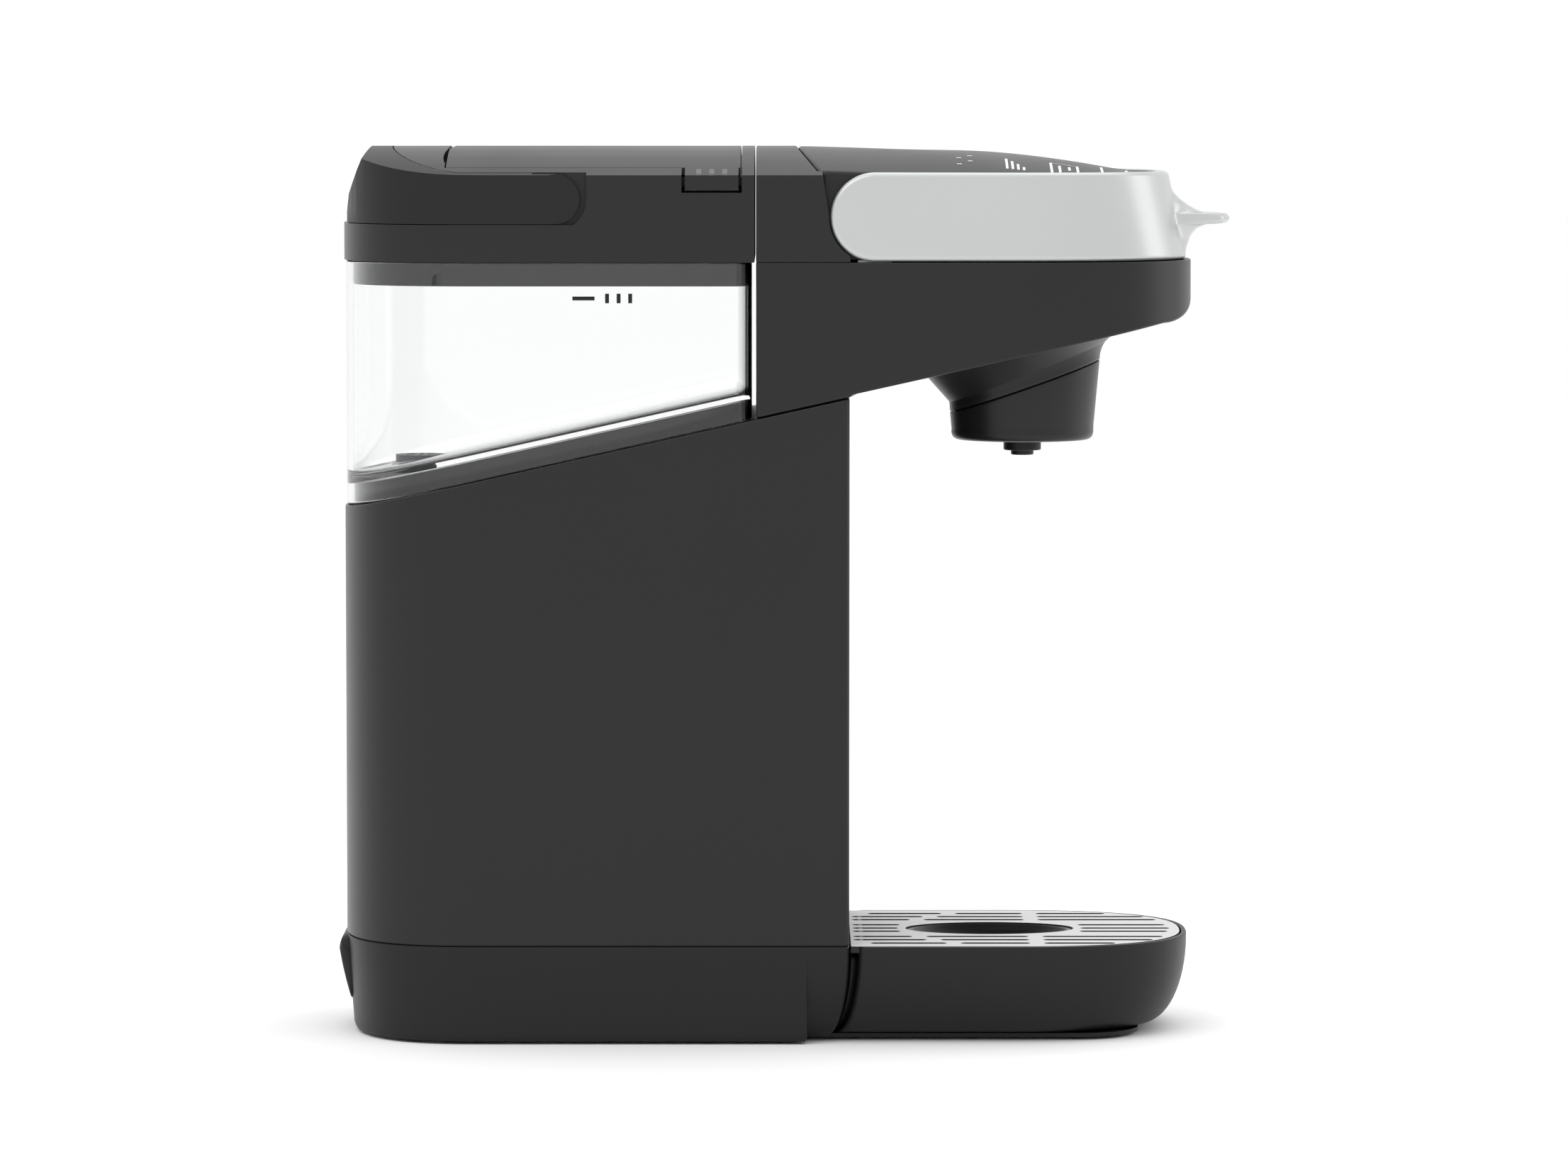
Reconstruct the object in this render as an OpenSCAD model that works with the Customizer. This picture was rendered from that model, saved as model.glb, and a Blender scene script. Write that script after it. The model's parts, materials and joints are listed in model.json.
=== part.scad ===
// Pod coffee machine: a slim body with a lift-out water tank behind, a hinged pod
// chamber on top and a drip tray in front.
// Millimetres. The front faces -Y, +Z is up, and the origin is on the table, in the
// middle of the machine's width and depth.

/* [Overall] */
// Width of the body
body_w = 115; // [108:0.5:140]
// Height of the crowned top above the table
body_h = 319.4; // [270:0.1:390]
// Length of the tank, from the slit back to the rear face
tank_l = 147.4; // [130:0.1:180]
// Length of the head, from the slit forward to the nose
head_l = 156.9; // [150:0.1:180]
// Gap between the tank and the head
slit = 1.5; // [1:0.1:3]
// Length of the column that the head overhangs
col_l = 33.2; // [26:0.1:40]
// Thickness of the outer shells
wall = 2.4; // [1.8:0.1:3]

/* [Base] */
// Height of the seam between the base and the body
base_h = 34.8; // [32:0.1:42]
// Height of the base's underside above the table, which is how far the feet stand out
lift = 0.8; // [0.6:0.1:2]
// How far the rear wall of the base leans in
base_draft = 2.6; // [0:0.1:4]
// How far the cord outlet stands out of the rear face
cowl_l = 2.5; // [1:0.1:5]
// Width of the cord outlet
cowl_w = 36; // [24:1:50]

/* [Tray] */
// Gap between the column and the tray
tray_gap = 3.5; // [1:0.1:5]
// Thickness of the tray's wall
tray_wall = 1.8; // [1.4:0.1:2.6]
// Depth of the rolled lower front edge
roll_d = 14.3; // [8:0.1:16]
// How far the sides roll in at the bottom
roll_w = 13; // [6:0.5:15]
// Width of a slot in the grid
slot_w = 3.8; // [2.5:0.1:5]
// Distance between neighbouring slots
slot_pitch = 9.8; // [8:0.1:12]
// Half length of the oval dish
dish_y = 30.6; // [20:0.1:34]
// Half width of the oval dish
dish_x = 18.5; // [14:0.1:20]

/* [Deck] */
// Slope of the deck under the tank
deck_a = 12.55; // [8:0.05:15]
// Thickness of the deck
deck_t = 3; // [2:0.1:4]
// Height of the parting line above the deck at the slit
head_h = 55.6; // [50:0.1:64]

/* [Top] */
// Height of the crown above the parting line
top_h = 40.7; // [38:0.1:46]
// How far the crown falls to each side edge
crown_drop = 9.8; // [6:0.1:12]
// Radius of the lever's rounded rear end
lever_r = 15.8; // [14:0.1:17]
// Length of the lever's thumb tab
tab_l = 14.3; // [8:0.1:20]
// Width of the lever's arms
arm_t = 4.2; // [3:0.1:5]
// Radius of the carrying handle's rounded ends
bail_r = 8.85; // [7:0.05:10]
// Thickness of the carrying handle's arms
bail_t = 2.5; // [2:0.1:3.5]

/* [Pod chamber] */
// Distance from the nose back to the pod's axis
pod_in = 60.6; // [58:0.1:66]
// Inner radius of the pod holder's mouth
pod_r = 23.4; // [22:0.1:24]
// Radius of the funnel housing at the slanted seam
funnel_r = 27.2; // [26.6:0.1:30]
// Depth of the pod holder
pod_d = 44; // [38:0.5:48]

/* [Fits] */
// Gap around a fixed piece that is dropped in
fit = 0.3; // [0.15:0.05:0.5]
// Radial running clearance on a pin
run = 0.05; // [0.02:0.01:0.1]
// Radius of the lever's hinge pins
pin_r = 3; // [2.5:0.1:4]

/* [Hidden] */
$fn = 64;
e = 0.01;
steps = 28;
far = 400;

// Frame, from the slit outwards
depth = cowl_l + tank_l + slit + head_l + tab_l;
y_back = depth/2 - cowl_l;
y_tank = y_back - tank_l;
y_slit = y_tank - slit;
y_col = y_slit - col_l;
y_nose = y_slit - head_l;
y_pod = y_nose + pod_in;
half_w = body_w/2;
z_part = body_h - top_h;
z_side = body_h - crown_drop;
crown_r = (half_w*half_w + crown_drop*crown_drop)/(2*crown_drop);
oval = 2/2.5;                 // power of the rounded plan ends
back_b = 50.8;                // length of the rounded rear end
front_b = 67.6;               // length of the rounded front end
y_tray_f = y_nose + 0.7;
y_tray_b = y_col - tray_gap;
col_step = 15;                // how far the neck stands in front of the full-width base

function crown(x) = body_h - crown_r + sqrt(crown_r*crown_r - x*x);
function deck(y) = z_part - head_h - tan(deck_a)*(y - y_slit);

// Rounded plan ends: half-ovals seen from above, a is the half width and b the length
function half_oval(a, b, y, s, n = steps) = [for (i = [0:n]) let (t = 180*i/n)
    [a*sign(cos(t))*pow(abs(cos(t)), oval), y + s*b*pow(abs(sin(t)), oval)]];
// Quarter ellipse for a rolled edge, from the top of the roll [0, h] to the bottom [d, 0]
function roll(d, h, n = 8) = [for (i = [0:n]) let (t = 90*i/n) [d*(1 - cos(t)), h*(1 - sin(t))]];

module plan_back(inset, y0) {
    y_oval = y_back - back_b;
    polygon(concat([[half_w - inset, y0]],
        half_oval(half_w - inset, back_b - inset, y_oval, 1), [[inset - half_w, y0]]));
}
module plan_front(inset, y0, nose = y_nose) {
    y_oval = nose + front_b;
    polygon(concat([[half_w - inset, y0]],
        half_oval(half_w - inset, front_b - inset, y_oval, -1), [[inset - half_w, y0]]));
}
module slab(z0, z1) { translate([0, 0, z0]) linear_extrude(z1 - z0) children(); }
// A side view [y, z], as wide as w
module across(w, pts) {
    rotate([90, 0, 90]) translate([0, 0, -w/2]) linear_extrude(w) polygon(pts);
}
// A front view [x, z], from y0 to y1
module along(y0, y1, pts) {
    translate([0, y1, 0]) rotate([90, 0, 0]) linear_extrude(y1 - y0) polygon(pts);
}
// A rod along X
module rod(y, z, r, x0, x1, f = 48) {
    translate([x0, y, z]) rotate([0, 90, 0]) cylinder(r = r, h = x1 - x0, $fn = f);
}
module post(x, y, z0, z1, r, f = 32) { translate([x, y, z0]) cylinder(r = r, h = z1 - z0, $fn = f); }
module ring(x, y, z0, z1, ro, ri, f = 48) {
    difference() {
        post(x, y, z0, z1, ro, f);
        post(x, y, z0 - 1, z1 + 1, ri, f);
    }
}
module box(a, b) { translate(a) cube(b - a); }
// Everything under the crowned top, t below it
module under_crown(t, y0 = -far, y1 = far) {
    translate([0, y1, body_h - crown_r]) rotate([90, 0, 0])
        cylinder(r = crown_r - t, h = y1 - y0, $fn = 180);
}
// A tube swept along points that are far enough apart for its bends
function dir(a, b) = (b - a)/norm(b - a);
function tangent(p, i) = dir([0, 0, 0], dir(p[i - 1], p[i]) + dir(p[i], p[i + 1]));
function side(t) = dir([0, 0, 0], cross(t, [1, 0.15, 0.1]));
module hose(p, r, n = 10, t0 = undef, t1 = undef) {
    last = len(p) - 1;
    rings = [for (i = [0:last]) let (t = i == 0 ? (t0 ? t0 : dir(p[0], p[1]))
            : i == last ? (t1 ? t1 : dir(p[last - 1], p[last])) : tangent(p, i), u = side(t), v = cross(t, u))
        for (k = [0:n - 1]) p[i] + r*(u*cos(360*k/n) + v*sin(360*k/n))];
    polyhedron(rings, concat(
        [[for (k = [0:n - 1]) k]],
        [for (i = [0:last - 1]) for (k = [0:n - 1])
            [i*n + k, (i + 1)*n + k, (i + 1)*n + (k + 1)%n, i*n + (k + 1)%n]],
        [[for (k = [n - 1:-1:0]) last*n + k]]));
}
// Points along a smooth curve through hand-picked stations
function bend(a, b, c, d, t) = 0.5*(2*b + (c - a)*t + (2*a - 5*b + 4*c - d)*t*t
    + (3*b - a - 3*c + d)*t*t*t);
function smooth(p, n = 3) = concat([for (i = [0:len(p) - 2]) for (k = [0:n - 1])
    bend(p[max(i - 1, 0)], p[i], p[i + 1], p[min(i + 2, len(p) - 1)], k/n)], [p[len(p) - 1]]);

// ---------------------------------------------------------------- base
roll_h = base_h - 3;          // height of the rolled front edges
neck_d = 9;                   // how far the neck's foot rolls back
tongue_t = 1.4;
tongue_w = half_w - roll_w;
tongue_r = 22;                // its round front corners
y_tongue = y_nose + 19;
plate_t = 2.6;
y_wide = y_col + col_step;

// The front view that the tray and the neck share: sides that roll in at the bottom
function sides(inset, z0, z1) = let (w = half_w - inset, r = roll(roll_w, roll_h)) concat(
    [[-w, z1]], [for (p = r) [p[0] - w, z0 + p[1]]],
    [for (i = [len(r) - 1:-1:0]) [w - r[i][0], z0 + r[i][1]]], [[w, z1]]);
function neck_side(inset, z1) = concat([[y_wide + 5, z1], [y_col + inset, z1]],
    [for (p = roll(neck_d, roll_h)) [y_col + inset + p[0], lift + p[1]]], [[y_wide + 5, lift]]);

module base_form(inset, z0, z1) {
    intersection() {
        slab(z0, z1) plan_back(inset, y_wide + inset);
        translate([0, -inset, 0]) across(2*body_w, [[y_wide, z0 - 1], [y_back - base_draft, z0 - 1],
            [y_back - base_draft, lift], [y_back, base_h], [y_back, z1 + 1], [y_wide, z1 + 1]]);
    }
    intersection() {
        across(body_w - 2*inset, neck_side(inset, z1));
        along(y_col - 1, y_wide + 6, sides(inset, lift, z1));
    }
}
cowl_pts = [[y_back - 9, 10.7], [y_back - base_draft - 0.2, 10.7], [y_back + cowl_l, 29.2],
    [y_back + cowl_l - 0.8, 33.2], [y_back, base_h], [y_back - 9, base_h]];
z_cord = 22;
gland_r = 5;
boss_r = 4;
boss_in = 9.6;                // how far the screw bosses stand in from the side faces
bosses = [[half_w - boss_in, y_back - 34], [boss_in - half_w, y_back - 34],
    [half_w - boss_in, y_wide + 12], [boss_in - half_w, y_wide + 12]];

module base_shell() color("#303030") difference() {
    union() {
        difference() {
            base_form(0, lift, base_h);
            base_form(wall, lift - 1, base_h + 1);
        }
        difference() {
            across(cowl_w, cowl_pts);
            across(cowl_w - 2*wall, [for (p = cowl_pts) p - [wall + 1, 0]]);
        }
        for (b = bosses) {
            post(b[0], b[1], lift + plate_t, base_h - 8, boss_r);
            box([b[0] > 0 ? b[0] : wall - half_w - e, b[1] - 1.5, lift + plate_t],
                [b[0] > 0 ? half_w - wall + e : b[0], b[1] + 1.5, base_h - 8]);
        }
    }
    for (b = bosses) post(b[0], b[1], lift, lift + plate_t + 14, 1.5);
    // the tongue's way out, and the cord outlet
    box([-tongue_w - fit, y_col - 1, lift - 1], [tongue_w + fit, y_wide + 4, lift + tongue_t + fit]);
    translate([0, y_back - 12, z_cord]) rotate([-90, 0, 0]) cylinder(r = gland_r, h = 30, $fn = 32);
}
feet = [[-36, y_back - 38], [36, y_back - 38], [-32, y_tongue + 16], [32, y_tongue + 16]];
foot_r = 7;
foot_in = 0.6;
module base_plate() color("#262626") difference() {
    union() {
        intersection() {
            slab(lift, lift + plate_t) plan_back(wall + fit, y_wide + wall + fit);
            base_form(wall + fit, lift, base_h);
        }
        slab(lift, lift + tongue_t) {
            translate([-tongue_w, y_tongue + tongue_r]) square([2*tongue_w, y_wide + 12 - y_tongue - tongue_r]);
            translate([tongue_r - tongue_w, y_tongue]) square([2*(tongue_w - tongue_r), tongue_r + 1]);
            for (s = [-1, 1]) translate([s*(tongue_w - tongue_r), y_tongue + tongue_r]) circle(r = tongue_r, $fn = 64);
        }
    }
    for (f = feet) post(f[0], f[1], lift - 1, lift + foot_in, foot_r + run);
    for (b = bosses) {
        post(b[0], b[1], 0, lift + plate_t + 1, 1.8);
        post(b[0], b[1], 0, lift + 1.2, 3.2);
    }
}
module rubber_feet() color("#1a1a1a") for (f = feet) post(f[0], f[1], 0, lift + foot_in, foot_r);
module base_screws() color("#b8b8b8") for (b = bosses) {
    post(b[0], b[1], lift + 0.2, lift + 1.2, 3);
    post(b[0], b[1], lift + 1.2 - e, lift + plate_t + 10, 1.45);
}
module cord_gland() color("#1c1c1c") translate([0, 0, z_cord]) rotate([-90, 0, 0]) difference() {
    union() {
        translate([0, 0, y_back - 10]) cylinder(r = gland_r - run, h = 10.2, $fn = 32);
        translate([0, 0, y_back - 11.2 - wall]) cylinder(r = gland_r + 2, h = 2.4, $fn = 32);
        translate([0, 0, y_back - 11.2 - wall]) cylinder(r = gland_r - run, h = 6, $fn = 32);
    }
    translate([0, 0, y_back - 20]) cylinder(r = 3.4, h = 40, $fn = 32);
}

// ---------------------------------------------------------------- body and deck
deck_front = y_slit - wall;   // the deck runs forward to under the head's rear wall
y_dock = y_back - 27;
z_dock = deck(y_dock) - 14;   // floor of the tank's socket
dock_r = 12.6;
board_x = wall + 7.5 - half_w;
heat_y = 40;
board_y = heat_y - 4;
stand_offs = [for (y = [board_y + 6, board_y + 70]) for (z = [66, 144]) [y, z]];

module under_deck(t) { across(2*body_w, [[-far, 0], [far, 0], [far, deck(far) - t], [-far, deck(-far) - t]]); }
module body_plan(inset) {
    polygon(concat([[half_w - inset, y_col + inset + 2], [half_w - inset - 2, y_col + inset]],
        [[inset + 2 - half_w, y_col + inset], [inset - half_w, y_col + inset + 2]],
        [for (i = [steps:-1:0]) half_oval(half_w - inset, back_b - inset, y_back - back_b, 1)[i]]));
}
module body_shell() color("#353535") {
    difference() {
        intersection() {
            slab(base_h, z_part) body_plan(0);
            under_deck(0);
        }
        slab(base_h - 1, z_part) body_plan(wall + 2);
        intersection() {
            slab(base_h - 1, z_part) body_plan(wall);
            under_deck(deck_t + 4);
        }
        difference() {
            slab(base_h, z_part) body_plan(wall);
            under_deck(deck_t);
        }
    }
    for (s = stand_offs) rod(s[0], s[1], 3, wall/2 - half_w, board_x, 24);
}
module tank_deck() color("#2a2a2a") difference() {
    union() {
        intersection() {
            slab(base_h, z_part) intersection() {
                body_plan(wall + fit/2);
                translate([-far, deck_front]) square([2*far, far]);
            }
            difference() {
                under_deck(0);
                under_deck(deck_t - fit/2);
            }
        }
        intersection() {
            post(0, y_dock, z_dock - 2.4, z_part, dock_r + 2.4, 48);
            under_deck(0);
        }
    }
    post(0, y_dock, z_dock, z_part, dock_r, 48);
    post(0, y_dock, z_dock - 5, z_dock + 1, 4);
}
module dock_seal() color("#6b2f22") ring(0, y_dock, z_dock, z_dock + 3, dock_r - run, 9.8);
module dock_spigot() color("#3a3a3a") difference() {
    union() {
        post(0, y_dock, z_dock - 6, z_dock + 4.4, 4 - run);
        post(0, y_dock, z_dock, z_dock + 1.6, 6);
    }
    post(0, y_dock, z_dock - 7, z_dock + 6, 2.2, 24);
}

// ---------------------------------------------------------------- works inside the column
z_floor = lift + plate_t;
meter_z = z_dock - 6;
pump_x = 26;
pump_y = 100;
pump_z = 62;
pump_h = 50;
pump_rad = 17;
heat_z = 60;
heat_h = 90;
hose_r = 3;

module flow_meter() color("#4b5a62") difference() {
    union() {
        post(0, y_dock, meter_z - 4, meter_z, 5);
        post(0, y_dock, meter_z - 20, meter_z - 4, 11, 48);
        post(0, y_dock, meter_z - 26, meter_z - 20, hose_r);
    }
    post(0, y_dock, meter_z - 27, meter_z + 1, 1.8, 24);
}
module water_pump() color("#8f9498") {
    post(pump_x, pump_y, pump_z, pump_z + pump_h, pump_rad, 48);
    post(pump_x, pump_y, pump_z - 8, pump_z + pump_h + 8, 9);
    post(pump_x, pump_y, pump_z - 14, pump_z + pump_h + 14, hose_r);
}
module pump_mounts() color("#1a1a1a") for (z = [pump_z - 7, pump_z + pump_h + 1])
    ring(pump_x, pump_y, z, z + 6, 13, 9 + run);
module pump_bracket() color("#9aa0a3") difference() {
    union() {
        for (z = [pump_z - 6, pump_z + pump_h + 2])
            box([pump_x - 19, pump_y - 19, z], [pump_x + 21, pump_y + 19, z + 4]);
        box([pump_x + 18.5, pump_y - 19, z_floor], [pump_x + 21, pump_y + 19, pump_z + pump_h + 6]);
        box([pump_x + 4, pump_y - 19, z_floor], [pump_x + 21, pump_y + 19, z_floor + 2.4]);
    }
    post(pump_x, pump_y, pump_z - 10, pump_z + pump_h + 10, 13 + run);
}
module heater_block() color("#a9adb0") {
    box([-22, heat_y - 18, heat_z], [22, heat_y + 18, heat_z + heat_h]);
    post(0, heat_y, heat_z - 6, heat_z + heat_h + 6, hose_r);
}
module heater_bracket() color("#9aa0a3") for (s = [-1, 1]) {
    box([s > 0 ? 22 : -24.4, heat_y - 14, z_floor], [s > 0 ? 24.4 : -22, heat_y + 14, heat_z + 30]);
    box([s > 0 ? 24.3 : -32, heat_y - 14, z_floor], [s > 0 ? 32 : -24.3, heat_y + 14, z_floor + 2.4]);
}
inlet_pts = [[0, y_dock, meter_z - 26], [0, y_dock, meter_z - 32],
    [5, y_dock - 6, meter_z - 40], [18, pump_y + 12, pump_z + pump_h + 28],
    [pump_x, pump_y, pump_z + pump_h + 21], [pump_x, pump_y, pump_z + pump_h + 14]];
pump_pts = [[pump_x, pump_y, pump_z - 14], [pump_x, pump_y, pump_z - 20],
    [20, 88, 32], [10, 66, 27], [2, 50, 32], [0, heat_y, heat_z - 13], [0, heat_y, heat_z - 6]];
z_elbow = z_part - 20;
y_elbow = y_slit - 20;
brew_pts = [[0, heat_y, heat_z + heat_h + 6], [0, heat_y, heat_z + heat_h + 13],
    [0, y_slit + 18.1, deck(y_slit) - 41.1], [0, y_slit + 0.1, deck(y_slit) - 15.1], [0, y_slit - 14, deck(y_slit) + 6],
    [0, y_elbow, z_elbow - 16], [0, y_elbow, z_elbow - 8]];
module fitted_hose(p) color("#d8d8d2") hose(smooth(p), hose_r, 10, dir(p[0], p[1]),
    dir(p[len(p) - 2], p[len(p) - 1]));
module inlet_hose() fitted_hose(inlet_pts);
module pump_hose() fitted_hose(pump_pts);
module brew_hose() fitted_hose(brew_pts);
module main_board() color("#2f6b3c") {
    translate([board_x, board_y, 0]) {
        box([0, 0, 60], [1.6, 76, 150]);
        post(9, 22, 70, 96, 7.4 + e);
        box([1.6 - e, 40, 66], [17, 66, 90]);
        box([1.6 - e, 10, 116], [12, 30, 136]);
        for (y = [40, 50, 60]) box([1.6 - e, y - 3.5, 128], [9, y + 3.5, 140]);
    }
}

// ---------------------------------------------------------------- head
underside = 1.1;              // how far the head's underside stands above the deck's plane
nose_d = 11.4;                // depth and height of the rolled edge under the nose
nose_h = 8.2;
nose_z = deck(y_nose + nose_d) + underside;
z_deck2 = z_part - 14.2;      // underside of the chamber's deck
tube_top = z_deck2 - 2.5;

// The head's side view, t inside its faces; the inner one stays open over the column
function nose_side(t, z1) = concat(
    [[y_slit - t, z1], [y_slit - t, t > 0 ? 0 : deck(y_slit)], [y_col + t, t > 0 ? 0 : deck(y_col)],
     [y_col + t, deck(y_col + t) + underside + t]],
    [for (i = [8:-1:0]) let (p = roll(nose_d, nose_h)[i]) [y_nose + t + p[0], nose_z + t + p[1]]],
    [[y_nose + t, z1]]);
seam_a = -19.2;               // tilt of the seam around the funnel
z_seam = deck(y_pod) - 12;    // height of that seam on the pod's axis
tube_r = funnel_r - 1.2;

module seam_disc(r, up, t) translate([0, y_pod, z_seam]) rotate([seam_a, 0, 0])
    translate([0, 0, up]) cylinder(r = r, h = t, $fn = 40);
module head_shell() color("#353535") difference() {
    union() {
        difference() {
            intersection() {
                slab(deck(y_slit) - 1, z_part) plan_front(0, y_slit);
                across(2*body_w, nose_side(0, z_part));
            }
            intersection() {
                slab(0, far) plan_front(wall, y_slit - wall);
                across(2*body_w, nose_side(wall, far));
            }
        }
        hull() {
            seam_disc(funnel_r + 0.6, 0, 1);
            translate([0, y_pod + 1, deck(y_pod + 1) + underside + 0.5]) rotate([-deck_a, 0, 0])
                cylinder(r = funnel_r + 9, h = 1, $fn = 40);
        }
    }
    post(0, y_pod, 0, z_part, tube_r + fit, 64);
}
module funnel_housing() color("#3a3a3a") difference() {
    union() {
        difference() {
            translate([0, y_pod, z_seam - 19.3]) rotate_extrude($fn = 64)
                polygon(concat([[0, 0]], [for (i = [0:4]) let (t = 90*i/4)
                    [funnel_r - 4.6 + 3*sin(t), 3*(1 - cos(t))]], [[funnel_r + 1.4, 36], [0, 36]]));
            translate([0, y_pod, z_seam]) rotate([seam_a, 0, 0]) box([-60, -60, 0], [60, 60, 60]);
        }
        post(0, y_pod, z_seam - 8, tube_top, tube_r, 64);
    }
    translate([0, y_pod, 0]) rotate_extrude($fn = 64)
        polygon([[0, z_seam - 17.1], [funnel_r - 4.6, z_seam - 17.1], [funnel_r - 3.4, z_seam - 14],
            [tube_r - 1.6, z_seam - 6], [tube_r - 1.6, tube_top + 1], [0, tube_top + 1]]);
    post(0, y_pod, z_seam - 30, z_seam, 5);
}
z_nozzle = z_seam - 19.3;
module nozzle() color("#2a2a2a") difference() {
    union() {
        post(0, y_pod, z_nozzle - 3.9, z_nozzle, 6.8);
        post(0, y_pod, z_nozzle - 5.6, z_nozzle, 4.1);
        post(0, y_pod, z_nozzle - 1, z_nozzle + 2.6, 5 - run);
    }
    post(0, y_pod, z_nozzle - 9, z_nozzle + 9, 2.6, 24);
}
holder_t = 1.1;
z_holder = tube_top - pod_d;
module pod_holder() color("#2b2b2b") difference() {
    translate([0, y_pod, 0]) rotate_extrude($fn = 64)
        polygon([[0, z_holder - 1.4], [pod_r - 3, z_holder - 1.4], [pod_r + holder_t - 0.5, tube_top - 2],
            [pod_r + holder_t - 0.5, tube_top], [tube_r + 3, tube_top], [tube_r + 3, tube_top + 2.5],
            [pod_r, tube_top + 2.5], [pod_r - 4.1, z_holder], [0, z_holder]]);
    for (k = [0:5]) post(12*cos(60*k), y_pod + 12*sin(60*k), z_holder - 3, z_holder + 1, 1.8, 16);
}
module exit_needle() color("#c8ccce") translate([0, y_pod, z_holder]) {
    cylinder(r = 7, h = 1.4, $fn = 32);
    translate([0, 0, 1.4 - e]) cylinder(r = 1.5, h = 7, $fn = 24);
    translate([0, 0, 8.4 - 2*e]) cylinder(r1 = 1.5, r2 = 0.3, h = 3, $fn = 24);
}
pin_y = y_col - 9;
pin_z = z_part + 16.1;
ear_x = 43.5 + (half_w - 57.5);
ear_t = 4.6;
module head_deck() color("#2e2e2e") difference() {
    intersection() {
        slab(z_deck2, z_deck2 + 2.5) plan_front(wall + fit/2, y_slit - wall - fit/2);
        across(2*body_w, nose_side(wall, far));
    }
    post(0, y_pod, 0, far, pod_r + 0.8, 64);
}
module hinge_brackets() color("#9aa0a3") for (s = [-1, 1]) {
    x0 = s > 0 ? ear_x : -ear_x - ear_t;
    difference() {
        union() {
            box([x0, pin_y - 6, z_deck2 + 2.5], [x0 + ear_t, pin_y + 6, pin_z]);
            rod(pin_y, pin_z, 6, x0, x0 + ear_t);
            box([x0, pin_y - 12, z_deck2 + 2.5], [x0 + ear_t, pin_y + 12, z_deck2 + 5]);
        }
        rod(pin_y, pin_z, pin_r, x0 - 1, x0 + ear_t + 1);
    }
}
pin_end = half_w - 1.2;
module hinge_pins() color("#b8bcbe") for (s = [-1, 1])
    rod(pin_y, pin_z, pin_r, s > 0 ? ear_x - 1.5 : -pin_end, s > 0 ? pin_end : 1.5 - ear_x);
module brew_elbow() color("#4b5a62") {
    post(0, y_elbow, z_elbow - 8, z_elbow - 2, hose_r);
    post(0, y_elbow, z_elbow - 2.1, z_deck2, 7);
}
module lid_switch() color("#202020") {
    box([-ear_x + 6, pin_y - 10, z_deck2 + 2.5], [-ear_x + 13, pin_y + 8, z_deck2 + 12]);
    box([-ear_x + 8, pin_y - 8, z_deck2 + 12 - e], [-ear_x + 11, pin_y - 5, z_deck2 + 13]);
}
cover_gap = 0.5;
seam_y = y_slit - 15.1;       // the seam between the lid and the cover, on the crest
seam_bow = 8.6;               // how far that seam bows forward at the sides
lid_half = half_w - arm_t - 0.7;
function seam_at(x) = seam_y - seam_bow*(x/half_w)*(x/half_w);
function swing_r(x) = norm([seam_at(x) - pin_y, crown(x) - pin_z]);
// What the lid's rear edge sweeps about its hinge: a barrel, g wider all round
module swing(g, w) rotate([0, 90, 0]) rotate_extrude($fn = 96)
    polygon(concat([[0, -w]], [for (i = [0:16]) let (x = w*(i - 8)/8) [swing_r(x) + g, x]], [[0, w]]));
module at_pin() translate([0, pin_y, pin_z]) children();
toe = pin_y + 8.7;
module head_cover() color("#353535") difference() {
    intersection() {
        across(body_w, [[y_slit, z_part], [toe, z_part], [toe, z_part + 4], [pin_y + lever_r + 0.4, pin_z],
            [y_slit - 23.6, z_side + 0.6], [y_slit - 23.6, body_h + 5], [y_slit, body_h + 5]]);
        under_crown(0);
    }
    intersection() {
        box([wall - half_w, -far, z_part - 1], [half_w - wall, y_slit - wall, body_h + 5]);
        under_crown(wall);
    }
    at_pin() swing(cover_gap, lid_half + 0.4);
    rod(pin_y, pin_z, lever_r + cover_gap, -half_w - 1, half_w + 1, 96);
}

// ---------------------------------------------------------------- pod lid
lid_b = 52;                   // length of the lid's rounded nose
z_lid = z_part + 0.7;
y_lid_f = y_nose + front_b - lid_b;
lid_top = [[0, 0.1], [-37.3, 1.2], [-71, 2], [-96.3, 4.2], [-112, 6], [-122.3, 8.6], [-126.8, 15.4]];
function lid_side(t) = concat([[y_slit - 4, z_lid - 2*t], [y_slit - 4, body_h]],
    [for (p = lid_top) [seam_y + p[0] + t, body_h - p[1] - t]], [[y_lid_f + t, z_lid - 2*t]]);
module lid_plan(inset) polygon(concat([[lid_half - inset, y_slit]],
    half_oval(lid_half - inset, lid_b - inset, y_nose + front_b, -1), [[inset - lid_half, y_slit]]));
module lid_form(t) intersection() {
    slab(z_lid - t, body_h + 5) lid_plan(t);
    across(2*body_w, lid_side(t));
    under_crown(t);
}
module pod_lid() color("#353535") difference() {
    union() {
        difference() {
            intersection() {
                lid_form(0);
                union() {
                    box([-far, -far, 0], [far, pin_y, far]);
                    at_pin() swing(0, lid_half + 1);
                }
            }
            lid_form(wall);
        }
        for (s = [-1, 1]) rod(pin_y, pin_z, 6, s > 0 ? ear_x + ear_t + 0.5 : -lid_half,
            s > 0 ? lid_half : -ear_x - ear_t - 0.5);
    }
    rod(pin_y, pin_z, pin_r + run, -half_w, half_w);
}
module lid_inner() color("#2e2e2e") {
    difference() {
        intersection() {
            slab(z_lid, z_lid + 2.4) lid_plan(wall + 0.2);
            box([-far, y_lid_f + wall + 1, 0], [far, pin_y - 14, far]);
        }
        post(0, y_pod, 0, far, 4);
    }
    ring(0, y_pod, z_deck2 + 3.1, z_lid + e, pod_r + 3.4, pod_r + 1);
    ring(0, y_pod, z_deck2 + 3.1, z_deck2 + 5.1, pod_r + 1 + e, 4);
}
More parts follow.
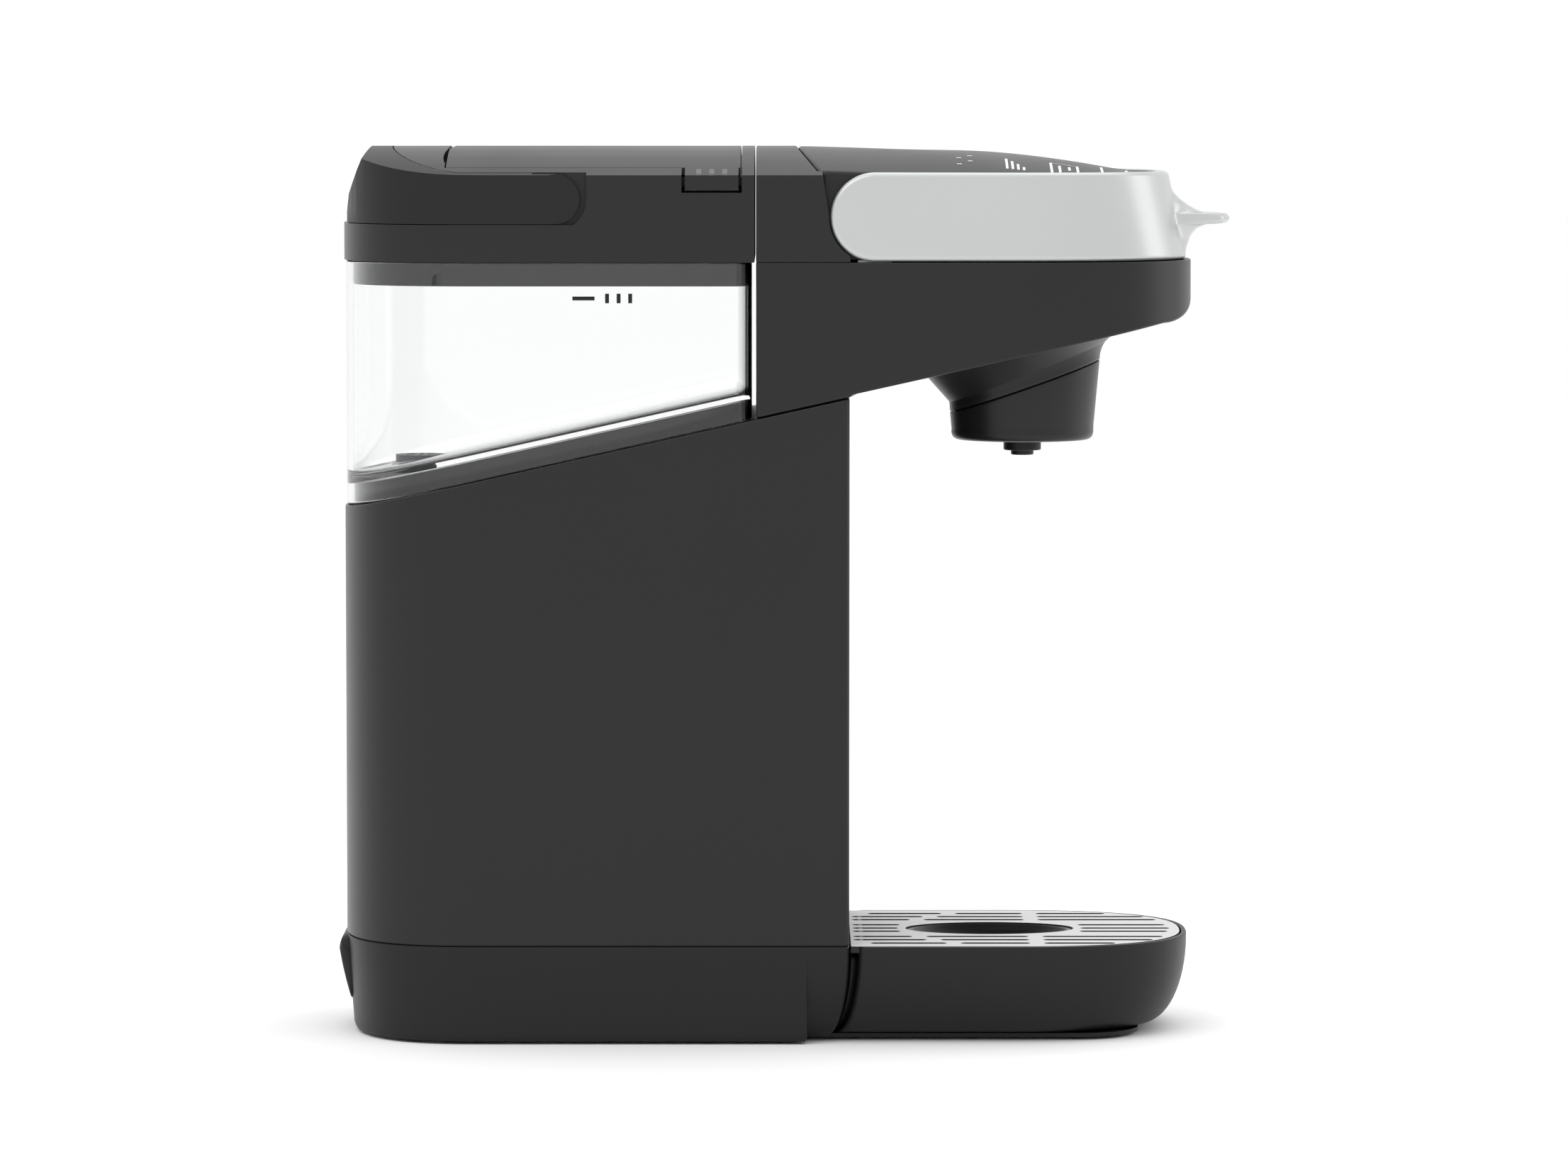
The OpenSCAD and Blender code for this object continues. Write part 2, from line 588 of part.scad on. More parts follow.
module piercing_needle() color("#c8ccce") {
    difference() {
        union() {
            post(0, y_pod, z_deck2 + 5.1, z_deck2 + 7, 7);
            post(0, y_pod, z_deck2 + 0.1, z_deck2 + 7, 4 - run);
            post(0, y_pod, z_deck2 - 5, z_deck2 + 2, 1.5, 24);
        }
        post(0, y_pod, z_deck2 - 2, z_deck2 + 8, 0.8, 16);
    }
    translate([0, y_pod, z_deck2 - 8]) cylinder(r1 = 0.3, r2 = 1.5, h = 3 + e, $fn = 24);
}
module pod_seal() color("#6b2f22") ring(0, y_pod, z_deck2 + 0.6, z_deck2 + 3.1, pod_r - 2, pod_r - 6);
module control_board() color("#2f6b3c") {
    box([-30, y_pod - 22, body_h - 13.6], [30, y_pod + 32, body_h - 12]);
    for (x = [-24, 24]) for (y = [y_pod - 16, y_pod + 26])
        post(x, y, z_lid + 2.4, body_h - 13.6 + e, 2.5, 16);
    for (y = [y_pod - 14, y_pod + 4, y_pod + 21]) box([-18, y - 2.5, body_h - 12 - e], [18, y + 2.5, body_h - 10.6]);
}

// ---------------------------------------------------------------- lever
z_lever = z_part + 0.3;
z_lever_top = body_h - 8.9;
rake = 6.9;                   // how far the lever's front leans back, bottom to top
y_rake = y_nose + 1.5;
z_tab = z_part + 14.6;
tab_t = 4.2;
tab_w = 17;
tab_in = 16;                  // how far behind the nose the tab's plan circle is centred
module band(inset, z0, z1) intersection() {
    slab(z0, z1) plan_front(inset, pin_y, y_nose + 1);
    across(2*body_w, [[pin_y + 1, z0], [y_rake + inset, z0 - 0.01], [y_rake + rake + inset, z1 + 0.01], [pin_y + 1, z1]]);
}
module lever() color("#d2d4d3") difference() {
    union() {
        difference() {
            union() {
                band(0, z_lever, z_lever_top);
                rod(pin_y, pin_z, lever_r, -half_w, half_w, 96);
            }
            band(arm_t, z_lever - 1, z_lever_top + 1);
            box([arm_t - half_w, pin_y - 1, z_lever - 1], [half_w - arm_t, pin_y + 30, z_lever_top + 1]);
        }
        // thumb tab with a round end, blended into the band
        intersection() {
            across(2*tab_w, concat(
                [[y_nose + 6, z_tab + 10], [y_nose + 5.6, z_tab + 8.6], [y_nose + 1.6, z_tab + 4.6],
                 [y_nose - 3, z_tab + tab_t/2]],
                [for (i = [0:8]) let (t = 180*i/8) [y_nose - tab_l + tab_t/2*(1 - sin(t)), z_tab + tab_t/2*cos(t)]],
                [[y_nose - 5, z_tab - tab_t/2], [y_nose - 0.6, z_tab - 5], [y_nose + 1.6, z_tab - 9.5],
                 [y_nose + 4, z_tab - 9.5]]));
            difference() {
                slab(z_lever, z_lever_top) intersection() {
                    translate([0, y_nose + tab_in]) circle(r = tab_in + tab_l, $fn = 96);
                    translate([-tab_w, -far]) square([2*tab_w, far]);
                }
                band(arm_t - 1, z_lever - 1, z_lever_top + 1);
            }
        }
    }
    for (s = [-1, 1]) rod(pin_y, pin_z, 5, s > 0 ? half_w - arm_t - 1 : 0.8 - half_w, s > 0 ? half_w - 0.8 : arm_t + 1 - half_w);
}
module lever_bushes() color("#2a2a2a") for (s = [-1, 1]) difference() {
    rod(pin_y, pin_z, 5 - 0.02, s > 0 ? half_w - arm_t : 0.8 - half_w, s > 0 ? half_w - 0.8 : arm_t - half_w);
    rod(pin_y, pin_z, pin_r + run, -half_w, half_w);
}

// ---------------------------------------------------------------- tank
tank_in = 0.6;                // how far the tank's walls stand inside the body's face
tank_t = 2.2;
z_tank = z_part - 0.2;
seat = 0.3;                   // gap under the tank at rest
valve_r = 7;
pad_z = deck(y_dock - 13) + seat + 4;

module tank_plan(inset) polygon(concat(
    [[half_w - tank_in - inset, y_tank + inset + 3], [half_w - tank_in - inset - 3, y_tank + inset],
     [inset + 3 + tank_in - half_w, y_tank + inset], [inset + tank_in - half_w, y_tank + inset + 3]],
    [for (i = [steps:-1:0]) half_oval(half_w - tank_in - inset, back_b - tank_in - inset, y_back - back_b, 1)[i]]));
module tank() color("#c8d2d4") difference() {
    union() {
        difference() {
            slab(base_h, z_tank) tank_plan(0);
            under_deck(-seat);
            difference() {
                slab(base_h, z_tank + 1) tank_plan(tank_t);
                under_deck(-seat - 2.6);
            }
        }
        post(0, y_dock, z_dock + 5, pad_z, 9.4, 48);
        difference() {
            post(0, y_dock, z_dock + 5, pad_z, 13, 48);
            under_deck(-seat);
        }
    }
    post(0, y_dock, z_dock, pad_z + 1, valve_r, 48);
}
module valve_body() color("#e6e6e2") difference() {
    union() {
        post(0, y_dock, z_dock + 5.6, pad_z + 1, valve_r - run);
        post(0, y_dock, pad_z, pad_z + 2, 11, 48);
    }
    post(0, y_dock, z_dock + 7.2, pad_z + 3, 5.2);
    post(0, y_dock, z_dock + 4, pad_z, 3.2);
}
module valve_plunger() color("#6b2f22") {
    post(0, y_dock, z_dock + 4.6, pad_z - 4, 1.6, 24);
    post(0, y_dock, z_dock + 8.4, z_dock + 10.4, 4.6);
}
turns = 4;
coil_r = 3.6;
coil_z0 = z_dock + 11;
coil_z1 = pad_z + 1.2;
module valve_spring() color("#c8ccce") hose([for (i = [0:12*turns]) let (a = 30*i)
    [coil_r*cos(a), y_dock + coil_r*sin(a), coil_z0 + (coil_z1 - coil_z0)*i/(12*turns)]], 0.5, 6);
filter_h = 2.6;               // the inlet filter is a low slotted cap
module inlet_filter() color("#7d8688") difference() {
    post(0, y_dock, pad_z + 2, pad_z + 2 + filter_h, 9.5, 48);
    post(0, y_dock, pad_z + 1, pad_z + 1 + filter_h, 8.3, 48);
    for (k = [0:7]) rotate_about(k*45) box([-0.8, 2.5, pad_z + filter_h], [0.8, 7.5, pad_z + 3 + filter_h]);
}
module rotate_about(a) translate([0, y_dock, 0]) rotate([0, 0, a]) children();

// ---------------------------------------------------------------- tank lid, handle and fill door
z_band = z_part + 13.3;       // top of the lid's lower band, under the handle's arms
bail_y = y_tank + 69.8;
bail_z = z_part + 22.4;
bail_in = half_w - bail_t;    // inner face of the handle's arms
inner_b = 41.2;               // rounded rear end of the lid's raised middle
y_inner = y_back - 58.8;
pocket_r = 11.2;
function inner_y(x) = y_inner + inner_b*pow(max(1 - pow(abs(x)/half_w, 1/oval*2), 0), oval/2);
function bail_ri(x) = norm([inner_y(x) - bail_y, crown(x) - bail_z]);
// The surface between the handle and the lid: a barrel about the handle's pivot
module barrel(g, w) translate([0, bail_y, bail_z]) rotate([0, 90, 0]) rotate_extrude($fn = 96)
    polygon(concat([[0, -w]], [for (i = [0:24]) let (x = w*(i - 12)/12) [bail_ri(x) + g, x]], [[0, w]]));
bail_gap = 0.4;
door_x = 49.5 + (half_w - 57.5);
y_door_f = y_tank + 4.1;
y_door_b = y_back - 38.8;
door_t = 2.4;
hinge_y = y_door_b - 2.2;
hinge_z = body_h - 3.4;
knuckle_r = 2;
tab_y0 = y_door_f + 0.6;
tab_y1 = y_door_f + 19.6;
ledge = 1;
lid_thick = door_t + ledge + 3;
z_hinge_bar = body_h - 7.6;

module lid_block() {
    slab(z_part, z_band) plan_back(0, y_tank - 0.9);
    intersection() {
        slab(z_band - e, body_h + 5) plan_back(0, y_tank - 0.9);
        under_crown(0);
        union() {
            difference() {
                box([-half_w, y_tank - 2, 0], [half_w, bail_y, far]);
                for (s = [-1, 1]) {
                    rod(bail_y, bail_z, pocket_r, s > 0 ? bail_in - bail_gap : -far, s > 0 ? far : bail_gap - bail_in, 64);
                    box([s > 0 ? bail_in - bail_gap : -far, bail_y - 0.5, z_band - 1],
                        [s > 0 ? far : bail_gap - bail_in, bail_y + 1, far]);
                    box([s > 0 ? bail_in - bail_gap : -far, bail_y - pocket_r, bail_z],
                        [s > 0 ? far : bail_gap - bail_in, bail_y + 1, far]);
                }
            }
            intersection() {
                box([bail_gap - bail_in, bail_y - e, 0], [bail_in - bail_gap, far, far]);
                barrel(-bail_gap, bail_in + 1);
            }
        }
    }
}
module tank_lid() color("#353535") difference() {
    union() {
        difference() {
            lid_block();
            intersection() {
                slab(z_part - 1, body_h) plan_back(bail_t + wall + 0.6, y_tank - 0.9 + wall);
                under_crown(lid_thick);
                union() {
                    box([-far, 0, 0], [far, bail_y, far]);
                    barrel(-bail_gap - wall, half_w);
                }
            }
            // seat and mouth of the fill door
            difference() {
                box([-door_x - fit, y_door_f - 0.5, z_part], [door_x + fit, y_door_b + 0.5, body_h + 5]);
                under_crown(door_t + ledge);
            }
            box([-door_x + 5.5, y_door_f + 6.4, z_part], [door_x - 5.5, y_door_b - 8, body_h + 5]);
            rod(hinge_y, hinge_z, 3.7, -door_x, door_x);
            box([-half_w - 1, tab_y0 - 1.2, body_h - 16], [-door_x + 1, tab_y1 + 1.2, body_h + 5]);
        }
        for (s = [-1, 1]) {
            x0 = s > 0 ? 9 : -13;
            rod(hinge_y, hinge_z, knuckle_r, x0, x0 + 4, 32);
            box([x0, hinge_y - 1, z_hinge_bar - 1], [x0 + 4, hinge_y + 1, hinge_z]);
        }
        // bar that carries the hinge ears behind the mouth
        box([-15, y_door_b - 8, z_hinge_bar - 3.2], [15, y_door_b + 6, z_hinge_bar]);
        box([-15, y_door_b + 1.6, z_hinge_bar - 3.2], [15, y_door_b + 6, z_hinge_bar + 2.4]);
        // skirt that drops into the tank
        difference() {
            slab(z_part - 8.5, z_part + 0.5) tank_plan(tank_t + fit);
            slab(z_part - 10, z_part + 2) tank_plan(tank_t + fit + 2);
        }
    }
    rod(hinge_y, hinge_z, 1, -20, 20, 24);
    for (s = [-1, 1]) rod(bail_y, bail_z, 2.5, s > 0 ? bail_in - 6 : -half_w, s > 0 ? half_w : 6 - bail_in, 32);
}
module door_hinge_pin() color("#b8bcbe") rod(hinge_y, hinge_z, 1, -13, 13, 24);
module handle_pins() color("#b8bcbe") for (s = [-1, 1])
    rod(bail_y, bail_z, 2.5, s > 0 ? bail_in - 5.5 : 0.9 - half_w, s > 0 ? half_w - 0.9 : 5.5 - bail_in, 32);
module fill_door() color("#3a3a3a") difference() {
    union() {
        difference() {
            intersection() {
                union() {
                    box([-door_x, y_door_f, z_part], [door_x, y_door_b, body_h + 5]);
                    box([-half_w, tab_y0, z_part], [0, tab_y1, body_h + 5]);
                }
                under_crown(0);
                across(2*body_w, [[y_door_f - 5, z_part], [y_door_b, z_part], [y_door_b, body_h - 1],
                    [y_door_b - 1.5, body_h], [y_door_f - 5, body_h]]);
            }
            under_crown(door_t);
        }
        // lip of the lifting tab, and the skirt inside the mouth
        intersection() {
            box([-half_w, tab_y0, body_h - 15.2], [2 - half_w, tab_y1, body_h]);
            under_crown(0.5);
        }
        difference() {
            intersection() {
                box([-door_x + 7, y_door_f + 8, body_h - 14], [door_x - 7, y_door_b - 10, body_h]);
                under_crown(1);
                difference() {
                    under_crown(0);
                    under_crown(door_t + 4);
                }
            }
            box([-door_x + 8.6, y_door_f + 9.6, 0], [door_x - 8.6, y_door_b - 11.6, far]);
        }
        rod(hinge_y, hinge_z, knuckle_r, -8.7, 8.7, 32);
    }
    rod(hinge_y, hinge_z, 1 + run, -14, 14, 24);
    for (s = [-1, 1]) rod(hinge_y, hinge_z, knuckle_r + 0.3, s > 0 ? 8.7 : -13.3, s > 0 ? 13.3 : -8.7, 32);
}
module tank_handle() color("#303030") difference() {
    union() {
        intersection() {
            slab(z_band + fit, body_h + 5) plan_back(0, bail_y);
            under_crown(0);
            across(2*body_w, [[bail_y, 0], [y_back - 2, 0], [y_back - 2, z_part + 17.3], [y_back - 2.9, z_part + 23.9],
                [y_back - 6.3, z_part + 32.5], [y_back - 10.5, body_h + 1], [bail_y, body_h + 1]]);
            box([-far, 0, 0], [far, far, bail_z + bail_r + 12]);
        }
        for (s = [-1, 1]) rod(bail_y, bail_z, bail_r - 0.05, s > 0 ? bail_in : -half_w, s > 0 ? half_w : -bail_in, 64);
    }
    barrel(0, bail_in);
    box([-bail_in, -far, 0], [bail_in, bail_y + 3, far]);
    // the arms stop level with their rounded ends
    for (s = [-1, 1]) box([s > 0 ? bail_in - e : -far, 0, bail_z + bail_r], [s > 0 ? far : e - bail_in, bail_y + 8, far]);
    for (s = [-1, 1]) rod(bail_y, bail_z, 2.5 + run, s > 0 ? bail_in - 1 : 0.8 - half_w, s > 0 ? half_w - 0.8 : 1 - bail_in, 32);
}

// ---------------------------------------------------------------- drip tray
z_rim = base_h;
tray_z = lift + tongue_t + fit;
tray_back = 0.4;              // gap between the column and the tray's narrower rear part
core_in = 3.2;                // how far that part stands in from the sides
grid_t = 2.4;
grid_in = tray_wall + 0.6;
y_dish = y_nose + 72.2;
aisle_y = y_nose + 56.3;
function tray_side(t, z1) = concat([[y_tray_b - t, z1]],
    [for (p = roll(neck_d, base_h - tray_z - t)) [y_tray_b + p[0] - t, tray_z + t + p[1]]],
    [for (i = [8:-1:0]) let (p = roll(roll_d, base_h - 2 - tray_z - t)[i]) [y_tray_f + t + p[0], tray_z + t + p[1]]],
    [[y_tray_f + t, z1]]);
module tray_form(t, z1) intersection() {
    slab(0, z1) plan_front(t, y_tray_b + neck_d + 1, y_tray_f);
    across(2*body_w, tray_side(t, z1));
    along(y_tray_f - 1, y_tray_b + 20, sides(t, tray_z + t, z1));
}
// The narrower rear part that reaches the column, behind a shadow gap at each side
module tray_core() intersection() {
    across(2*body_w, concat([[y_tray_b - 3, lift], [y_tray_b - 3, z_rim], [y_col - tray_back, z_rim]],
        [for (p = roll(neck_d, roll_h)) [y_col - tray_back + p[0], lift + p[1]]]));
    along(y_tray_b - 3, y_tray_b + 30, sides(core_in, tray_z, z_rim));
}
module drip_tray() color("#2c2c2c") difference() {
    union() {
        tray_form(0, z_rim);
        tray_core();
    }
    intersection() {
        tray_form(tray_wall + 1.6, z_rim + 5);
        slab(0, z_rim) plan_front(tray_wall + 1.6, y_tray_b - tray_wall - 1.6, y_tray_f);
    }
    slab(z_rim - grid_t - fit, z_rim + 1) plan_front(tray_wall, y_tray_b + 1, y_tray_f);
    box([tray_wall - half_w, y_tray_b - 1, z_rim - grid_t - fit], [half_w - tray_wall, y_col + 1, z_rim + 1]);
}
module slot(x, y0, y1) {
    w = slot_w/2;
    if (y1 - y0 > 3*w) {
        translate([x - w, y0 + w]) square([2*w, y1 - y0 - 2*w]);
        for (y = [y0 + w, y1 - w]) translate([x, y]) circle(r = w, $fn = 24);
    }
}
y_grid_b = y_col - 0.6;
function slot_b(k) = k < 4 ? y_grid_b - 1 : y_tray_b - 4.2;
row_front = [6.6, 7.8, 10.3, 14.3, 28.3];
row_gap = [0, 0, 98.2, 93.2, 86.2];
row_x = [0, slot_pitch, dish_x + 7.1, dish_x + 7.1 + slot_pitch, dish_x + 7.1 + 2*slot_pitch];
aisle_h = 2.5;
module slots() for (k = [0:4]) if (row_x[k] < half_w - 9) for (s = k == 0 ? [1] : [-1, 1]) {
    x = s*row_x[k];
    front = y_nose + row_front[k];
    if (k < 2) {
        end = dish_y*sqrt(1 - pow(row_x[k]/dish_x, 2)) + 2.6 + (k == 1 ? 4 : 0);
        slot(x, front, y_dish - end);
        slot(x, y_dish + end, slot_b(k));
    } else {
        slot(x, front, aisle_y - aisle_h);
        slot(x, aisle_y + aisle_h, y_nose + row_gap[k] - aisle_h);
        slot(x, y_nose + row_gap[k] + aisle_h, slot_b(k));
    }
}
module oval_pts(g) translate([0, y_dish])
    polygon([for (i = [0:47]) let (t = 7.5*i) [(dish_x + g)*cos(t), (dish_y + g)*sin(t)]]);
module drip_grid() color("#dedede") difference() {
    slab(z_rim - grid_t, z_rim) intersection() {
        plan_front(grid_in, y_grid_b, y_tray_f);
        translate([-far, -far]) square([2*far, far + y_grid_b]);
    }
    slab(z_rim - grid_t - 1, z_rim + 1) { slots(); oval_pts(0); }
}
dish_d = 9;
module cup_dish() color("#242424") difference() {
    union() {
        slab(z_rim - dish_d, z_rim - 0.5) oval_pts(-fit);
        slab(z_rim - grid_t - 1.5, z_rim - grid_t) oval_pts(1.8);
    }
    slab(z_rim - dish_d + 1.6, z_rim + 1) oval_pts(-fit - 1.6);
    for (y = [-16, -8, 0, 8, 16]) slab(0, z_rim) slot2(y_dish + y);
}
module slot2(y) { translate([-8, y - 1.4]) square([16, 2.8]); }

base_shell();
base_plate();
rubber_feet();
base_screws();
cord_gland();
body_shell();
tank_deck();
dock_seal();
dock_spigot();
flow_meter();
water_pump();
pump_mounts();
pump_bracket();
heater_block();
heater_bracket();
inlet_hose();
pump_hose();
brew_hose();
brew_elbow();
main_board();
head_shell();
head_deck();
head_cover();
hinge_brackets();
hinge_pins();
lid_switch();
funnel_housing();
pod_holder();
exit_needle();
nozzle();
pod_lid();
lid_inner();
piercing_needle();
pod_seal();
control_board();
lever();
lever_bushes();
tank();
valve_body();
valve_plunger();
valve_spring();
inlet_filter();
tank_lid();
door_hinge_pin();
handle_pins();
fill_door();
tank_handle();
drip_tray();
drip_grid();
cup_dish();
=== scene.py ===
import json
import math

import bmesh
import bpy
import numpy as np
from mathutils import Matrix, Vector

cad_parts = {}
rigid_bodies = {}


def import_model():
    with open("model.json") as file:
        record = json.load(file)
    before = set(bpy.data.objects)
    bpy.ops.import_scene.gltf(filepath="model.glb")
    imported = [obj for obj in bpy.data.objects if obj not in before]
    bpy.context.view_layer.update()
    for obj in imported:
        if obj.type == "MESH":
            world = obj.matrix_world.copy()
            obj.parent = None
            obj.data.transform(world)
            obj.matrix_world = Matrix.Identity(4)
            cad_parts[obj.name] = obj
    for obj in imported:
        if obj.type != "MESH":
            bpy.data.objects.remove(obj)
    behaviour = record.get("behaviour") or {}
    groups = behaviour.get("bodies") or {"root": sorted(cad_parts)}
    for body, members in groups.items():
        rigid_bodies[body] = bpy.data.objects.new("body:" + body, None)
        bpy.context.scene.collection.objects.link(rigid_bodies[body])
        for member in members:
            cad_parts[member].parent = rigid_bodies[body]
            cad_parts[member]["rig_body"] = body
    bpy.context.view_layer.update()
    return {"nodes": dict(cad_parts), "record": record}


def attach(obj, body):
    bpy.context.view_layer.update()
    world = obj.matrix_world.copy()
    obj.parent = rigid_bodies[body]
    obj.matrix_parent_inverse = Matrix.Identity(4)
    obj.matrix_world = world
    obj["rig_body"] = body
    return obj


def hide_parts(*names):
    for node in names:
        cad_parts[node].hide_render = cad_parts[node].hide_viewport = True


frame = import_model()

mm = 0.001
far = 1000.0      # profile heights above half of this are measured from the top edge

# camera and studio
camera = {"place": (-2.6255, 0.0, 0.3494), "target": (-0.0575, 0.0, 0.1632), "lens": 166.4}
studio = {
    "sky": (1.0, 1.0, 1.0), "skyPower": 1.03,
    "floor": (0.97, 0.97, 0.97), "floorHalf": 14.0,
    "lamps": [
        {"name": "keySoft", "place": (-1.3, 0.9, 1.7), "size": (1.6, 1.2), "power": 9.0},
        {"name": "topSoft", "place": (0.3, -0.2, 1.9), "size": (1.8, 1.8), "power": 10.0},
        {"name": "frontSoft", "place": (0.25, -1.8, 0.7), "size": (0.9, 1.2), "power": 4.0},
    ],
}


def makeCamera():
    # one camera that looks from its place at its target
    data = bpy.data.cameras.new("mainCamera")
    data.lens, data.sensor_width = camera["lens"], 36
    data.clip_start, data.clip_end = 0.05, 60
    eye = bpy.data.objects.new("mainCamera", data)
    bpy.context.scene.collection.objects.link(eye)
    eye.location = camera["place"]
    aim = Vector(camera["target"]) - eye.location
    eye.rotation_euler = aim.to_track_quat("-Z", "Y").to_euler()
    bpy.context.scene.camera = eye


makeCamera()
print("camera placed")


# shader maths: a wire is one node output, and + - * / > on it add Math nodes
class Wire:
    def __init__(self, tree, socket):
        self.tree, self.socket = tree, socket

    def maths(self, operation, first, second):
        return add(self.tree, "ShaderNodeMath", {"operation": operation}, {0: first, 1: second})

    def __add__(self, other):
        return self.maths("ADD", self, other)

    def __sub__(self, other):
        return self.maths("SUBTRACT", self, other)

    def __mul__(self, other):
        return self.maths("MULTIPLY", self, other)

    __radd__, __rmul__ = __add__, __mul__


def add(tree, kind, settings=None, sockets=None, output=0):
    # any node: its settings first, then the values or links of its sockets
    made = tree.nodes.new(kind)
    for key, value in (settings or {}).items():
        setattr(made, key, value)
    for key, value in (sockets or {}).items():
        if isinstance(value, Wire):
            tree.links.new(value.socket, made.inputs[key])
        else:
            made.inputs[key].default_value = value
    return Wire(tree, made.outputs[output]) if len(made.outputs) else None


def grey(value):
    # an opaque grey of one linear value
    return (value, value, value, 1.0)


# Finishes by material slot. Colours are linear; grain is the mould texture's size per metre, and
# its depth in millimetres; cloud is how much the tone drifts over a hand's width.
finishes = {
    "dark_shell": {"colour": (0.0092, 0.0092, 0.0094), "rough": 0.36, "gloss": 0.32, "grain": 2600,
        "depth": 0.010, "cloud": 0.10},
    "dark_base": {"colour": (0.0100, 0.0100, 0.0102), "rough": 0.42, "gloss": 0.24, "grain": 2600,
        "depth": 0.010, "cloud": 0.10},
    "rubber": {"colour": (0.012, 0.012, 0.012), "rough": 0.75, "gloss": 0.3, "grain": 1800, "depth": 0.02,
        "cloud": 0.2},
    "steel": {"colour": (0.60, 0.61, 0.62), "rough": 0.28, "gloss": 0.5, "metal": 1.0, "grain": 3000,
        "depth": 0.004, "cloud": 0.1},
    "silicone": {"colour": (0.16, 0.035, 0.022), "rough": 0.5, "gloss": 0.4, "grain": 1500, "depth": 0.01,
        "cloud": 0.15},
    "grey_plastic": {"colour": (0.075, 0.09, 0.10), "rough": 0.42, "gloss": 0.4, "grain": 2400,
        "depth": 0.01, "cloud": 0.12},
    "cast_alloy": {"colour": (0.42, 0.43, 0.44), "rough": 0.46, "gloss": 0.5, "metal": 0.9, "grain": 1400,
        "depth": 0.03, "cloud": 0.2},
    "hose": {"colour": (0.62, 0.62, 0.58), "rough": 0.4, "gloss": 0.4, "grain": 1200, "depth": 0.006,
        "cloud": 0.08},
    "board": {"colour": (0.02, 0.13, 0.045), "rough": 0.35, "gloss": 0.5, "grain": 900, "depth": 0.01,
        "cloud": 0.3},
    "silver": {"colour": (0.50, 0.515, 0.51), "rough": 0.32, "gloss": 0.5, "metal": 0.55, "grain": 5200,
        "depth": 0.003, "cloud": 0.03},
    "white_plastic": {"colour": (0.78, 0.78, 0.76), "rough": 0.4, "gloss": 0.4, "grain": 2400,
        "depth": 0.006, "cloud": 0.05},
    "light_grey": {"colour": (0.66, 0.66, 0.66), "rough": 0.4, "gloss": 0.35, "grain": 3200, "depth": 0.008,
        "cloud": 0.04},
}
clearFinish = {"colour": (0.985, 0.992, 0.992, 1.0), "rough": 0.02, "bend": 1.46, "wave": 26,
    "waveDepth": 0.05}


def newTree(name):
    material = bpy.data.materials.new(name)
    material.use_nodes = True
    tree = material.node_tree
    tree.nodes.clear()
    return material, tree


def plasticFinish(name, look):
    # moulded finish: tone = colour x (1 + cloud x (slow noise - 1/2)), roughness drifts with the
    # same slow noise, and fine noise raises the grain
    material, tree = newTree(name)
    place = add(tree, "ShaderNodeTexCoord", output="Object")
    slow = add(tree, "ShaderNodeTexNoise", {"noise_dimensions": "3D"},
               {"Vector": place, "Scale": 16.0, "Detail": 3.0, "Roughness": 0.55})
    fine = add(tree, "ShaderNodeTexNoise", {"noise_dimensions": "3D"},
               {"Vector": place, "Scale": float(look["grain"]), "Detail": 2.0, "Roughness": 0.6})
    drift = slow - 0.5
    dark = [c*(1 - look["cloud"]) for c in look["colour"]]
    light = [c*(1 + look["cloud"]) for c in look["colour"]]
    tone = add(tree, "ShaderNodeMix", {"data_type": "RGBA"},
               {0: slow, 6: (*dark, 1.0), 7: (*light, 1.0)}, output=2)
    bump = add(tree, "ShaderNodeBump", None,
               {"Strength": 0.6, "Distance": look["depth"]*mm, "Height": fine})
    shader = add(tree, "ShaderNodeBsdfPrincipled", None, {
        "Base Color": tone, "Roughness": drift*0.12 + (look["rough"] + (fine - 0.5)*0.04),
        "Metallic": look.get("metal", 0.0), "Specular IOR Level": look["gloss"], "Normal": bump})
    add(tree, "ShaderNodeOutputMaterial", None, {"Surface": shader})
    return material


def clearFinishMade(name, look):
    # clear moulded plastic: full transmission, a slow wave in the wall raises the faintest ripple
    material, tree = newTree(name)
    place = add(tree, "ShaderNodeTexCoord", output="Object")
    wave = add(tree, "ShaderNodeTexNoise", None,
        {"Vector": place, "Scale": float(look["wave"]), "Detail": 1.0})
    bump = add(tree, "ShaderNodeBump", None,
               {"Strength": 0.15, "Distance": look["waveDepth"]*mm, "Height": wave})
    shader = add(tree, "ShaderNodeBsdfPrincipled", None, {
        "Base Color": look["colour"], "Roughness": wave*0.02 + look["rough"], "IOR": look["bend"],
        "Transmission Weight": 1.0, "Normal": bump})
    add(tree, "ShaderNodeOutputMaterial", None, {"Surface": shader})
    return material


materials = {slot: plasticFinish(slot, look) for slot, look in finishes.items()}
materials["clear"] = clearFinishMade("clear", clearFinish)


